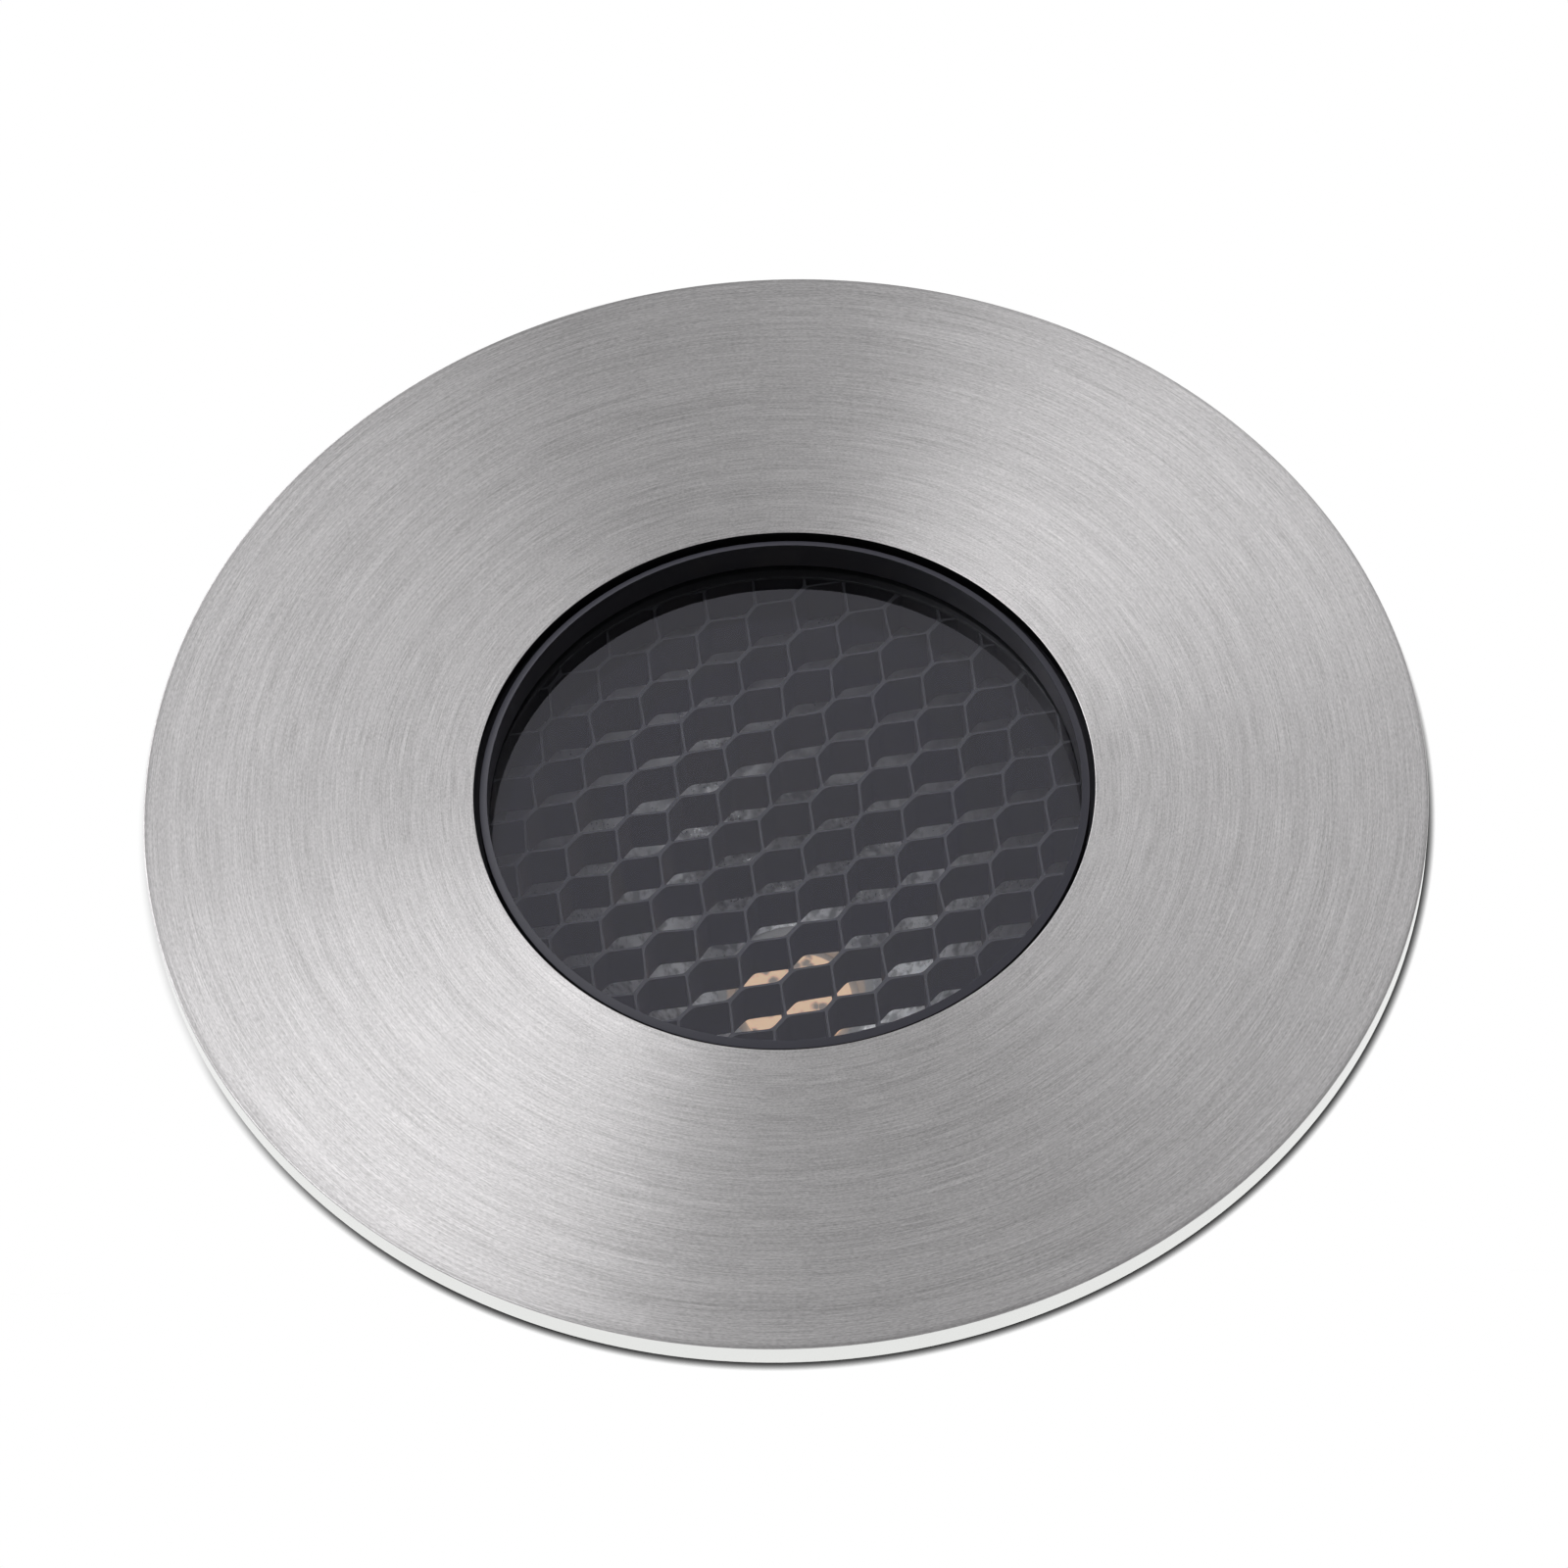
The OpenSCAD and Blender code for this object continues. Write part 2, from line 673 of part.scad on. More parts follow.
// A round cord that fills the groove up to the barrel's wall
module cover_seal() {
    groove_r = driver_r - loose / 2 - seal_groove;
    cord_r = (driver_r - groove_r) / 2 - thread_gap;
    color("#141516") translate([0, 0, z_rear + cover_spigot_h / 2])
        rotate_extrude() translate([(groove_r + driver_r) / 2, 0]) circle(r = cord_r, $fn = few);
}

module cover_screws() {
    color("#c2c0ba") around(cover_screw_r, cover_screw_angles)
        translate([0, 0, z_cover]) screw(m3_r, cover_t + 3.4, m3_head_r, m3_head_h);
}

module gland_body() {
    color("#1c1d1f") difference() {
        union() {
            disc(gland_r - thread_gap, z_hex_top, z_rear + gland_boss_h);
            disc(hex_r, z_hex_bottom, z_hex_top, 6);
            disc(gland_r - gland_step, z_insert_bottom, z_hex_bottom);
        }
        bore(gland_bore_r, z_insert_bottom, z_rear + gland_boss_h, $fn);
    }
}

module gland_washer() {
    color("#141516") ring(hex_r - 0.9, gland_r + slip, z_cover - gland_washer_t, z_cover);
}

module gland_insert() {
    color("#2a2b2d")
        ring(gland_bore_r - thread_gap, cable_d / 2, z_insert_bottom, z_insert_bottom + insert_l);
}

module gland_nut() {
    dome_h = 4;
    color("#1c1d1f") difference() {
        union() {
            disc(hex_r, z_nut_bottom + dome_h, z_nut_top, 6);
            translate([0, 0, z_nut_bottom]) cylinder(r1 = gland_bore_r + 0.9, r2 = hex_r * cos(30), h = dome_h);
        }
        disc(gland_r - gland_step + thread_gap, z_insert_bottom - slip, z_nut_top + cut);
        bore(cable_d / 2 + 1, z_nut_bottom, z_nut_top, $fn);
    }
}

// Base plate with two ears that hold the pivot pin
module clip_bracket() {
    color("#b5b4b0") difference() {
        union() {
            translate([base_x - clip_t, -base_w / 2, base_low]) cube([clip_t, base_w, base_high - base_low]);
            for (side = [-1, 1]) translate([0, side * (ear_y + clip_t / 2), 0]) {
                rotate([90, 0, 0]) cylinder(r = ear_r, h = clip_t, center = true, $fn = some);
                translate([base_x - clip_t, -clip_t / 2, -ear_r]) cube([clip_t - base_x, clip_t, 2 * ear_r]);
            }
        }
        rotate([90, 0, 0]) cylinder(r = pin_r + 0.03, h = base_w + 2 * cut, center = true, $fn = some);
        for (side = [-1, 1])
            translate([base_x - clip_t - cut, side * bracket_screw_y, bracket_screw_z])
                rotate([0, 90, 0]) cylinder(r = m25_clear_r, h = clip_t + 2 * cut, $fn = few);
    }
}

module clip_pin() {
    rivet_w = 0.6;
    rivet_t = 0.8;
    color("#c9c8c4") rotate([90, 0, 0]) union() {
        cylinder(r = pin_r, h = base_w + 2 * slip, center = true, $fn = some);
        for (side = [-1, 1]) translate([0, 0, side * (base_w + 2 * slip + rivet_t) / 2])
            cylinder(r = pin_r + rivet_w, h = rivet_t, center = true, $fn = some);
    }
}

// A channel: a flat arm over the spring, with a cheek on each side of the pin
module clip_arm() {
    rear = base_x + slip;
    blade_w = tip_w - 2 * tip_wall;
    color("#bdbcb8") difference() {
        union() {
            translate([rear, -arm_w / 2, arm_under]) cube([cheek_l - rear, arm_w, clip_t]);
            translate([0, -blade_w / 2, arm_under]) cube([arm_l - tip_wall, blade_w, clip_t]);
            for (side = [-1, 1]) translate([0, side * (arm_w - clip_t) / 2, 0]) {
                rotate([90, 0, 0]) cylinder(r = eye_r, h = clip_t, center = true, $fn = some);
                translate([-eye_r, -clip_t / 2, 0]) cube([2 * eye_r, clip_t, arm_under]);
                translate([0, clip_t / 2, 0]) rotate([90, 0, 0]) linear_extrude(clip_t)
                    polygon([[0, -eye_r], [eye_r * 0.6, -eye_r * 0.8], [cheek_l, arm_under - clip_t],
                        [cheek_l, arm_under], [0, arm_under]]);
            }
        }
        rotate([90, 0, 0]) cylinder(r = pin_r + running_gap, h = arm_w + 2 * cut, center = true, $fn = some);
    }
}

// A rubber shoe pushed over the end of the arm
module clip_tip() {
    color("#1b1c1e") difference() {
        translate([arm_l - tip_l, -tip_w / 2, arm_under - tip_under])
            cube([tip_l, tip_w, clip_t + tip_under + tip_rise]);
        translate([arm_l - tip_l - cut, tip_wall - tip_w / 2, arm_under])
            cube([tip_l + cut - tip_wall, tip_w - 2 * tip_wall, clip_t]);
    }
}

// The wire runs up the base plate, winds round the pin and leaves under the arm
function spring_path() = let(
    half = spring_pitch * (spring_turns + 0.25) / 2,
    sweep = 90 + 360 * spring_turns,
    steps = spring_steps * (spring_turns + 0.25),
    leg_fixed = 6,
    leg_arm = 8)
    concat(
        [for (z = [-leg_fixed:2:-2]) [-coil_r, -half, z]],
        [for (i = [0:steps]) let(a = 180 - sweep * i / steps)
            [coil_r * cos(a), -half + 2 * half * i / steps, coil_r * sin(a)]],
        [for (x = [2:2:leg_arm]) [x, half, coil_r]]);

function unit(v) = v / norm(v);

module swept_wire(path, r, sides) {
    last = len(path) - 1;
    rings = [for (i = [0:last]) let(
        along = unit(path[min(i + 1, last)] - path[max(i - 1, 0)]),
        across = unit(cross(along, [0, 1, 0])),
        up = cross(along, across))
        [for (k = [0:sides - 1]) let(a = 360 * k / sides) path[i] + r * (cos(a) * across + sin(a) * up)]];
    points = [for (one = rings) each one];
    skin = [for (i = [0:last - 1], k = [0:sides - 1]) let(
        a = i * sides + k, b = i * sides + (k + 1) % sides) each [
            [a, b, a + sides], [b, b + sides, a + sides]]];
    caps = [for (k = [1:sides - 2]) each [
        [0, k + 1, k], [last * sides, last * sides + k, last * sides + k + 1]]];
    polyhedron(points = points, faces = concat(skin, caps));
}

module clip_spring() {
    color("#8f9194") swept_wire(spring_path(), wire_r, 6);
}

module bracket_screws() {
    color("#c2c0ba") for (turn = [0, 180], side = [-1, 1]) on_side(turn)
        translate([base_x, side * bracket_screw_y, bracket_screw_z])
            rotate([0, -90, 0]) screw(m25_r, clip_t + 3.4, m25_head_r, m25_head_h);
}

// The least gap between points of the wire that are over half a turn apart
function spring_gap(path) = min([for (i = [0:len(path) - 1], j = [i + spring_steps / 2 + 1:len(path) - 1])
    norm(path[i] - path[j])]) - wire_d;
echo(spring_gap_mm = spring_gap(spring_path()));

bezel_ring();
bezel_studs();
bezel_nuts();
bezel_washers();
bezel_gasket();
glass_collar();
collar_screws();
glass_lens();
glass_gasket();
louver_hoop();
honeycomb_louver();
reflector();
led_board();
led_phosphor();
led_holder();
led_holder_screws();
thermal_pad();
heat_sink();
heat_sink_screws();
led_leads();
lead_grommet();
housing_body();
driver_board();
board_standoffs();
board_screws();
driver_transformer();
driver_capacitors();
driver_chokes();
terminal_block();
terminal_screws();
rear_cover();
cover_seal();
cover_screws();
gland_body();
gland_washer();
gland_insert();
gland_nut();
on_side(0) clip_bracket();  // clip_bracket_right
on_side(180) clip_bracket();  // clip_bracket_left
bracket_screws();
on_side(0) clip_pin();  // clip_pin_right
on_side(180) clip_pin();  // clip_pin_left
on_side(0) clip_arm();  // clip_arm_right
on_side(180) clip_arm();  // clip_arm_left
on_side(0) clip_tip();  // clip_tip_right
on_side(180) clip_tip();  // clip_tip_left
on_side(0) clip_spring();  // clip_spring_right
on_side(180) clip_spring();  // clip_spring_left
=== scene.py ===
"""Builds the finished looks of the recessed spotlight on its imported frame.

Lengths in the code are millimetres, as in the part's source, and become metres where a mesh is made.
"""

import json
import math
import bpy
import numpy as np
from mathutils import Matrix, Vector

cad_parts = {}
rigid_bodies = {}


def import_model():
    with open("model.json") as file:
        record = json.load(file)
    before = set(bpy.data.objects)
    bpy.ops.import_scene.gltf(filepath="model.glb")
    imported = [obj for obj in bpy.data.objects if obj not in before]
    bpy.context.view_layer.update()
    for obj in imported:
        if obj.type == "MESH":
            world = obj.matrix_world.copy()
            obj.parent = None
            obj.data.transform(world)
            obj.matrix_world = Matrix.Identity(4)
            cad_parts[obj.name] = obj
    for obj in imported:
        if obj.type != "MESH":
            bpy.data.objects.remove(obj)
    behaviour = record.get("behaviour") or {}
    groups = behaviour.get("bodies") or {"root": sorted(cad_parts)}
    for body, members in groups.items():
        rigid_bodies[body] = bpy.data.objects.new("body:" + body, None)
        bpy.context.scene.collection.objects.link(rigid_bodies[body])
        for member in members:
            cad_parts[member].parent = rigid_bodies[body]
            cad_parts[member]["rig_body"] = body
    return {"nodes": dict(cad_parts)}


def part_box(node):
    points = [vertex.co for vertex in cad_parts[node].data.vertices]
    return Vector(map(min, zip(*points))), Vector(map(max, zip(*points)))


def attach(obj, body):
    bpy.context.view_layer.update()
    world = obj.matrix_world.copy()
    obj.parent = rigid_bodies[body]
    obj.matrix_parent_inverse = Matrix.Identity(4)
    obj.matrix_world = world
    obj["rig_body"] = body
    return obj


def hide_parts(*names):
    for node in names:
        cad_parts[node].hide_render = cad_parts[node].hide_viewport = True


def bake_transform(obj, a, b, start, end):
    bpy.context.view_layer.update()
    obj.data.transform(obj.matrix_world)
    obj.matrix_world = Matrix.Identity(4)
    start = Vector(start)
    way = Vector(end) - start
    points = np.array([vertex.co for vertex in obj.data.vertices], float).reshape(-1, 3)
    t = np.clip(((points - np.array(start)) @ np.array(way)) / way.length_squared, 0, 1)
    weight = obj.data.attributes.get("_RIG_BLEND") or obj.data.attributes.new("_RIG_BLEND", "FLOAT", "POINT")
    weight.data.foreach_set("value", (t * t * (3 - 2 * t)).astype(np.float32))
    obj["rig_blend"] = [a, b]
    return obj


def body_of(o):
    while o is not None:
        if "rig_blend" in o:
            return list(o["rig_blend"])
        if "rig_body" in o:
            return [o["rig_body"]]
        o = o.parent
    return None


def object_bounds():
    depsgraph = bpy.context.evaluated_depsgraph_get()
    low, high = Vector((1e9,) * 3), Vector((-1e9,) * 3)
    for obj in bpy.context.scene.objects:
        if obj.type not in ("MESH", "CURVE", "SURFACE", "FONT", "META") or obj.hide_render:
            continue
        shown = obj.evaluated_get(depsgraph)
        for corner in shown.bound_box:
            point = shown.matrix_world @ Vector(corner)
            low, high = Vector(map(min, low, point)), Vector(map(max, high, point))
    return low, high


bl_info = {
    "name": "Recessed spotlight",
    "version": (1, 0, 0),
    "blender": (4, 5, 0),
    "location": "3D View > Sidebar > Spotlight",
    "description": "Builds the finished looks of a recessed spotlight on its packed frame",
    "category": "Object",
}

import bmesh
import bpy
from bpy.props import FloatProperty, FloatVectorProperty, PointerProperty
from mathutils import Matrix, Vector, geometry, noise

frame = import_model()
CAD_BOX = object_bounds()

MM = 0.001

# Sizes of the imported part, in millimetres
OPENING_R = 26.65
GASKET_R = 49.6
GASKET_W = 6.6
GASKET_T = 0.9
GLASS_R = 28.0
FOIL_R = 26.5
FOIL_T = 0.2
CELL_W = 4.68
CELL_GLUE = 1.75
BEND = 0.4
LOUVER_TURN = 19.7
FOIL_SEED = 1
MOUTH_R = 25.2
THROAT_R = 7.0
HOOP_OR = 27.1
REFLECTOR_T = 0.8
PIVOT_X = 36.8
PIVOT_Z = -15.6
COIL_R = 1.65
WIRE_R = 0.3
SPRING_PITCH = 1.04
SPRING_TURNS = 3
LEAD_X = 1.1
LEAD_R = 0.75
CANS = ((11, -8, 4.5, 9.5), (12, 4, 3.2, 8), (5, 12, 2.6, 7))
CHOKES = ((-2, -8), (-10, -9.5))
CHOKE_FLANGE_R = 3.2
CHOKE_FLANGE = 0.8
CHOKE_H = 6.2
CHOKE_WIRE_R = 0.19
CHOKE_TURNS = 11
CHOKE_TURN_STEPS = 24
TRANSFORMER = (-13, 2)
TRANSFORMER_CORE_W = 12

# The photograph's camera, in millimetres and degrees, fitted to the bezel's outlines
CAMERA_AT = Vector((0, -306.4, 458.7))
CAMERA_AIM = Vector((0, 0, 2.4))
CAMERA_LENS = 147.36
CAMERA_ROLL = -3.33
# Each softbox: azimuth from +X, height and angular radius in degrees, and brightness
SOFTBOXES = (("left rear softbox", 133.4, 15, 30, 2.06), ("high left softbox", 164, 60, 20.6, 2.65))
SOFTBOX_DISTANCE = 5
# The panel lies off centre, so that it hides the body from the front only
PANEL_SHIFT = 13.5
PANEL_HOLE_R = 42


def linear(hex_colour):
    """A colour written as sRGB hex, as linear red, green and blue"""
    parts = [int(hex_colour[i:i + 2], 16) / 255 for i in (1, 3, 5)]
    return tuple(c / 12.92 if c <= 0.04045 else ((c + 0.055) / 1.055) ** 2.4 for c in parts)


def colour(name, description, hex_colour):
    return FloatVectorProperty(
        name=name, description=description, default=linear(hex_colour), subtype="COLOR", min=0, max=1)


def length(name, description, millimetres, most):
    return FloatProperty(
        name=name, description=description, default=millimetres * MM, min=0, max=most * MM,
        subtype="DISTANCE", unit="LENGTH", precision=5)


class SpotlightSizes(bpy.types.PropertyGroup):
    bezel_fillet: length("Bezel edge", "Radius of the bezel's outer upper edge", 0.16, 1)
    opening_fillet: length("Opening edge", "Radius of the edge round the opening", 0.06, 1)
    foil_unevenness: length("Foil unevenness", "How far the honeycomb's corners stray", 0.13, 0.4)
    dimple_width: length("Dimple width", "Width of one hammered dimple in the reflector", 0.95, 5)
    dimple_depth: length("Dimple depth", "Depth of one hammered dimple", 0.06, 0.4)
    floor_radius: length("Floor radius", "Radius of the floor under the light", 3000, 9000)
    panel_radius: length("Panel radius", "Radius of the panel that the light is let into", 67.5, 200)


class SpotlightColours(bpy.types.PropertyGroup):
    steel: colour("Steel", "Brushed steel of the bezel", "#d0cecf")
    collar: colour("Collar", "Anodised collar round the glass", "#1a1a1e")
    glass: colour("Glass", "Tint of the glass", "#f7f8fb")
    louver: colour("Louver", "Paint on the honeycomb", "#16161a")
    reflector: colour("Reflector", "Anodised reflector", "#fcfcfd")
    phosphor: colour("Light source", "Silicone disc over the light source", "#fbd3b0")
    housing: colour("Housing", "Powder coat on the castings", "#2a2b2d")
    rubber: colour("Rubber", "Seals and shoes", "#1b1c1e")
    board: colour("Board", "Solder mask of the driver's board", "#1f5a3c")


# ---------------------------------------------------------------- materials


def feed(made, inputs):
    """Sets a node's inputs to values, or links them to the sockets given"""
    for key, value in inputs.items():
        if isinstance(value, bpy.types.NodeSocket):
            made.id_data.links.new(value, made.inputs[key])
        else:
            made.inputs[key].default_value = value


def node(tree, kind, inputs=None, out=0, **settings):
    """Adds a shader node with its inputs and settings, and returns one of its outputs"""
    made = tree.nodes.new("ShaderNode" + kind)
    for key, value in settings.items():
        setattr(made, key, value)
    feed(made, inputs or {})
    return made.outputs[out]


def tinted(rgb, factor):
    return tuple(min(1, c * factor) for c in rgb) + (1,)


def new_material(name):
    material = bpy.data.materials.new(name)
    material.use_nodes = True
    return material, material.node_tree, material.node_tree.nodes["Principled BSDF"]


def surface(name, rgb, metallic, roughness, grain, relief, contrast=0.06, cloud=9.0, specular=0.5):
    """A material with a fine grain in relief and slow changes in colour and gloss, sized in millimetres"""
    material, tree, shader = new_material(name)
    place = node(tree, "TexCoord", out="Object")
    fine = node(tree, "TexNoise", {"Vector": place, "Scale": 1 / (grain * MM), "Detail": 3.0}, out="Fac")
    slow = node(tree, "TexNoise", {"Vector": place, "Scale": 1 / (cloud * MM), "Detail": 3.0}, out="Fac")
    both = node(tree, "Math", {0: fine, 1: slow}, operation="ADD")
    half = node(tree, "Math", {0: both, 1: 0.5}, operation="MULTIPLY")
    tone = node(tree, "Mix", {"Factor": half, 6: tinted(rgb, 1 - contrast), 7: tinted(rgb, 1 + contrast)},
                data_type="RGBA", out=2)
    gloss = node(tree, "MapRange", {"Value": half, "From Min": 0.3, "From Max": 0.7,
                                    "To Min": roughness - 0.05, "To Max": roughness + 0.05})
    bump = node(tree, "Bump", {"Height": fine, "Distance": relief * MM, "Strength": 1.0})
    feed(shader, {"Base Color": tone, "Roughness": gloss, "Normal": bump, "Metallic": metallic,
                  "Specular IOR Level": specular})
    return material


def overlaid(material, share, rgb):
    """Another colour over a material's own, by the share that a socket gives"""
    tree = material.node_tree
    shader = tree.nodes["Principled BSDF"]
    own = shader.inputs["Base Color"].links[0].from_socket
    mixed = node(tree, "Mix", {"Factor": share, 6: own, 7: tinted(rgb, 1)}, data_type="RGBA", out=2)
    feed(shader, {"Base Color": mixed})
    return mixed


def painted_light_on_upper_faces(material, rgb, start, full):
    """Painted light: a lighter colour on the faces that look up, where the light falls on them"""
    tree = material.node_tree
    facing = node(tree, "SeparateXYZ", {0: node(tree, "TexCoord", out="Normal")}, out="Z")
    overlaid(material, node(tree, "MapRange", {"Value": facing, "From Min": start, "From Max": full}), rgb)


def brushed_stainless_steel(rgb):
    """Stainless sheet, brushed in circles on a turntable: the light fans out across the lines"""
    material, tree, shader = new_material("brushed stainless steel")
    place = node(tree, "TexCoord", out="Object")
    flat = node(tree, "VectorMath", {0: place, 1: (1.0, 1.0, 0.0)}, operation="MULTIPLY")
    radius = node(tree, "VectorMath", {0: flat}, operation="LENGTH", out="Value")
    around = node(tree, "VectorMath", {0: flat}, operation="NORMALIZE")
    height = node(tree, "SeparateXYZ", {0: place}, out="Z")
    across = node(tree, "Math", {0: radius, 1: height}, operation="SUBTRACT")
    share = 0.5
    # Grain of 0.1 mm, then lines 0.09, 0.25 and 1.6 mm wide, by the arcs that they run for and their weight.
    # Real grit lines are finer than a pixel, so these are as coarse as the camera needs
    for width, arc, weight in ((0.1, 0.3, 1.0), (0.09, 5, 1.0), (0.25, 16, 0.32), (1.6, 60, 0.26)):
        along = node(tree, "VectorMath", {0: around, "Scale": 40 / arc}, operation="SCALE")
        step = node(tree, "Math", {0: across, 1: 1 / (width * MM)}, operation="MULTIPLY")
        shift = node(tree, "CombineXYZ", {"Z": step})
        where = node(tree, "VectorMath", {0: along, 1: shift}, operation="ADD")
        layer = node(tree, "TexNoise", {"Vector": where, "Scale": 1.0, "Detail": 2.0}, out="Fac")
        centred = node(tree, "Math", {0: layer, 1: 0.5}, operation="SUBTRACT")
        share = node(tree, "Math", {0: centred, 1: weight, 2: share}, operation="MULTIPLY_ADD")
    tone = node(tree, "Mix", {"Factor": share, 6: tinted(rgb, 0.6), 7: tinted(rgb, 1.4)}, data_type="RGBA", out=2)
    gloss = node(tree, "MapRange", {"Value": share, "To Min": 0.37, "To Max": 0.31})
    relief = node(tree, "Bump", {"Height": share, "Distance": 0.0014 * MM, "Strength": 1.0})
    tangent = node(tree, "Tangent", direction_type="RADIAL", axis="Z")
    feed(shader, {"Base Color": tone, "Roughness": gloss, "Normal": relief, "Tangent": tangent, "Metallic": 1,
                  "Anisotropic": 0.9, "Anisotropic Rotation": 0.25})
    # Painted shade: the colour darkens over the outer edge, which the press rolls over a little
    painted_edge_shade = node(tree, "MapRange", {"Value": radius, "From Min": 54.5 * MM, "From Max": 54.8 * MM, "To Max": 0.3})
    overlaid(material, painted_edge_shade, tinted(rgb, 0.3)[:3])
    return material


def toughened_glass(name, rgb, mirror, coating):
    """Clear flat glass with a mirror tint and a coat: lamp light passes straight through, so what lies below is lit"""
    material, tree, shader = new_material(name)
    place = node(tree, "TexCoord", out="Object")
    # Wiping marks, about 7 mm apart, far too faint to bend what is seen through them
    marks = node(tree, "TexNoise", {"Vector": place, "Scale": 1 / (7 * MM), "Detail": 4.0}, out="Fac")
    gloss = node(tree, "MapRange", {"Value": marks, "To Max": 0.02})
    feed(shader, {"Base Color": tinted(rgb, 1), "Roughness": gloss, "Transmission Weight": 1, "IOR": 1.52,
                  "Specular Tint": mirror, "Coat Weight": coating, "Coat IOR": 1.7})
    path = node(tree, "LightPath").node.outputs
    passing = node(tree, "Math", {0: path["Is Shadow Ray"], 1: path["Is Diffuse Ray"]}, operation="MAXIMUM")
    clear = node(tree, "BsdfTransparent", {"Color": tinted(rgb, 0.96)})
    mixed = node(tree, "MixShader", {0: passing, 1: shader.outputs[0], 2: clear})
    feed(tree.nodes["Material Output"], {"Surface": mixed})
    return material


# ---------------------------------------------------------------- meshes


def new_piece(name, points, faces, material, sharp=32, closed=True):
    """An object from points in millimetres, with its faces turned outwards where it is closed"""
    form = bmesh.new()
    corners = [form.verts.new(Vector(p) * MM) for p in points]
    for face in faces:
        form.faces.new([corners[i] for i in face])
    if closed:
        bmesh.ops.recalc_face_normals(form, faces=form.faces)
    return placed(name, form, material, sharp)


def placed(name, form, material, sharp=32):
    """An object from a form, which is used up"""
    mesh = bpy.data.meshes.new(name)
    form.to_mesh(mesh)
    form.free()
    for layer in [a for a in ("custom_normal", "UVMap") if a in mesh.attributes]:
        mesh.attributes.remove(mesh.attributes[layer])
    mesh.polygons.foreach_set("use_smooth", [True] * len(mesh.polygons))
    mesh.set_sharp_from_angle(angle=math.radians(sharp))
    mesh.materials.append(material)
    made = bpy.data.objects.new(name, mesh)
    bpy.context.scene.collection.objects.link(made)
    return made


def faced(piece, material, picks):
    """Another material on the faces that picks(centre in millimetres, face) chooses"""
    piece.data.materials.append(material)
    for face in piece.data.polygons:
        if picks(face.center / MM, face):
            face.material_index = len(piece.data.materials) - 1


def circle(radius, sides, centre=(0, 0)):
    """Points round a circle"""
    return [(centre[0] + radius * math.cos(2 * math.pi * k / sides),
             centre[1] + radius * math.sin(2 * math.pi * k / sides)) for k in range(sides)]


def bands(rings):
    """Faces from each ring of corners to the next, and from the last to the first"""
    faces = []
    for ring, after in zip(rings, rings[1:] + rings[:1]):
        for k in range(len(ring)):
            nearby = (k + 1) % len(ring)
            # A ring at the axis is one corner many times, which a face takes once
            face = list(dict.fromkeys((ring[k], ring[nearby], after[nearby], after[k])))
            if len(face) > 2:
                faces.append(face)
    return faces


def evenly_shaded(piece):
    """Keeps large faces flat up to their rounded edges"""
    piece.modifiers.new("even shading", "WEIGHTED_NORMAL").keep_sharp = True
    return piece


def stands_for(piece, slot, *cad_nodes):
    """The piece rides where these CAD nodes ride, and is shown instead of them"""
    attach(piece, body_of(frame["nodes"][cad_nodes[0]])[0])
    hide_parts(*cad_nodes)
    return piece


def filleted(corners, steps=5):
    """A closed outline with an arc of the given radius at each (x, y, radius) corner"""
    outline = []
    for i, (x, y, radius) in enumerate(corners):
        corner = Vector((x, y))
        if not radius:
            outline.append((x, y))
            continue
        back = (Vector(corners[i - 1][:2]) - corner).normalized()
        ahead = (Vector(corners[(i + 1) % len(corners)][:2]) - corner).normalized()
        half = back.angle(ahead) / 2
        centre = corner + (back + ahead).normalized() * radius / math.sin(half)
        start = corner + back * radius / math.tan(half)
        end = corner + ahead * radius / math.tan(half)
        for k in range(steps + 1):
            spoke = (start.lerp(end, k / steps) - centre).normalized() * radius
            outline.append(tuple(centre + spoke))
    return outline


def turned(name, outline, material, sides=192, sharp=32, centre=(0, 0)):
    """A closed outline of (radius, height) turned about an upright axis, the light's own where no centre is given"""
    points, rings = [], []
    for radius, height in outline:
        if radius < 1e-6:
            rings.append([len(points)] * sides)
            points.append((*centre, height))
        else:
            rings.append(list(range(len(points), len(points) + sides)))
            points += [(x, y, height) for x, y in circle(radius, sides, centre)]
    return evenly_shaded(new_piece(name, points, bands(rings), material, sharp))


def swept(name, path, radius, material, sides=10):
    """A round wire along a path, closed by a domed end at each side"""
    path = [Vector(p) for p in path]
    points, faces = [], []
    side = Vector((0.3, 1, 0.2))
    for i, at in enumerate(path):
        along = (path[min(i + 1, len(path) - 1)] - path[max(i - 1, 0)]).normalized()
        side = (side - along * side.dot(along)).normalized()
        up = along.cross(side)
        points += [at + radius * (math.cos(a) * side + math.sin(a) * up)
                   for a in (2 * math.pi * k / sides for k in range(sides))]
    for i in range(len(path) - 1):
        for k in range(sides):
            a, b = i * sides + k, i * sides + (k + 1) % sides
            faces.append((a, b, b + sides, a + sides))
    for ring, along in ((0, path[0] - path[1]), (len(path) - 1, path[-1] - path[-2])):
        inner = len(points)
        middle = path[ring] + along.normalized() * radius * 0.35
        points += [middle + (points[ring * sides + k] - path[ring]) * 0.6 for k in range(sides)]
        faces += [(ring * sides + k, ring * sides + (k + 1) % sides, inner + (k + 1) % sides, inner + k)
                  for k in range(sides)]
        faces.append(tuple(range(inner, inner + sides)))
    return new_piece(name, points, faces, material, 60)


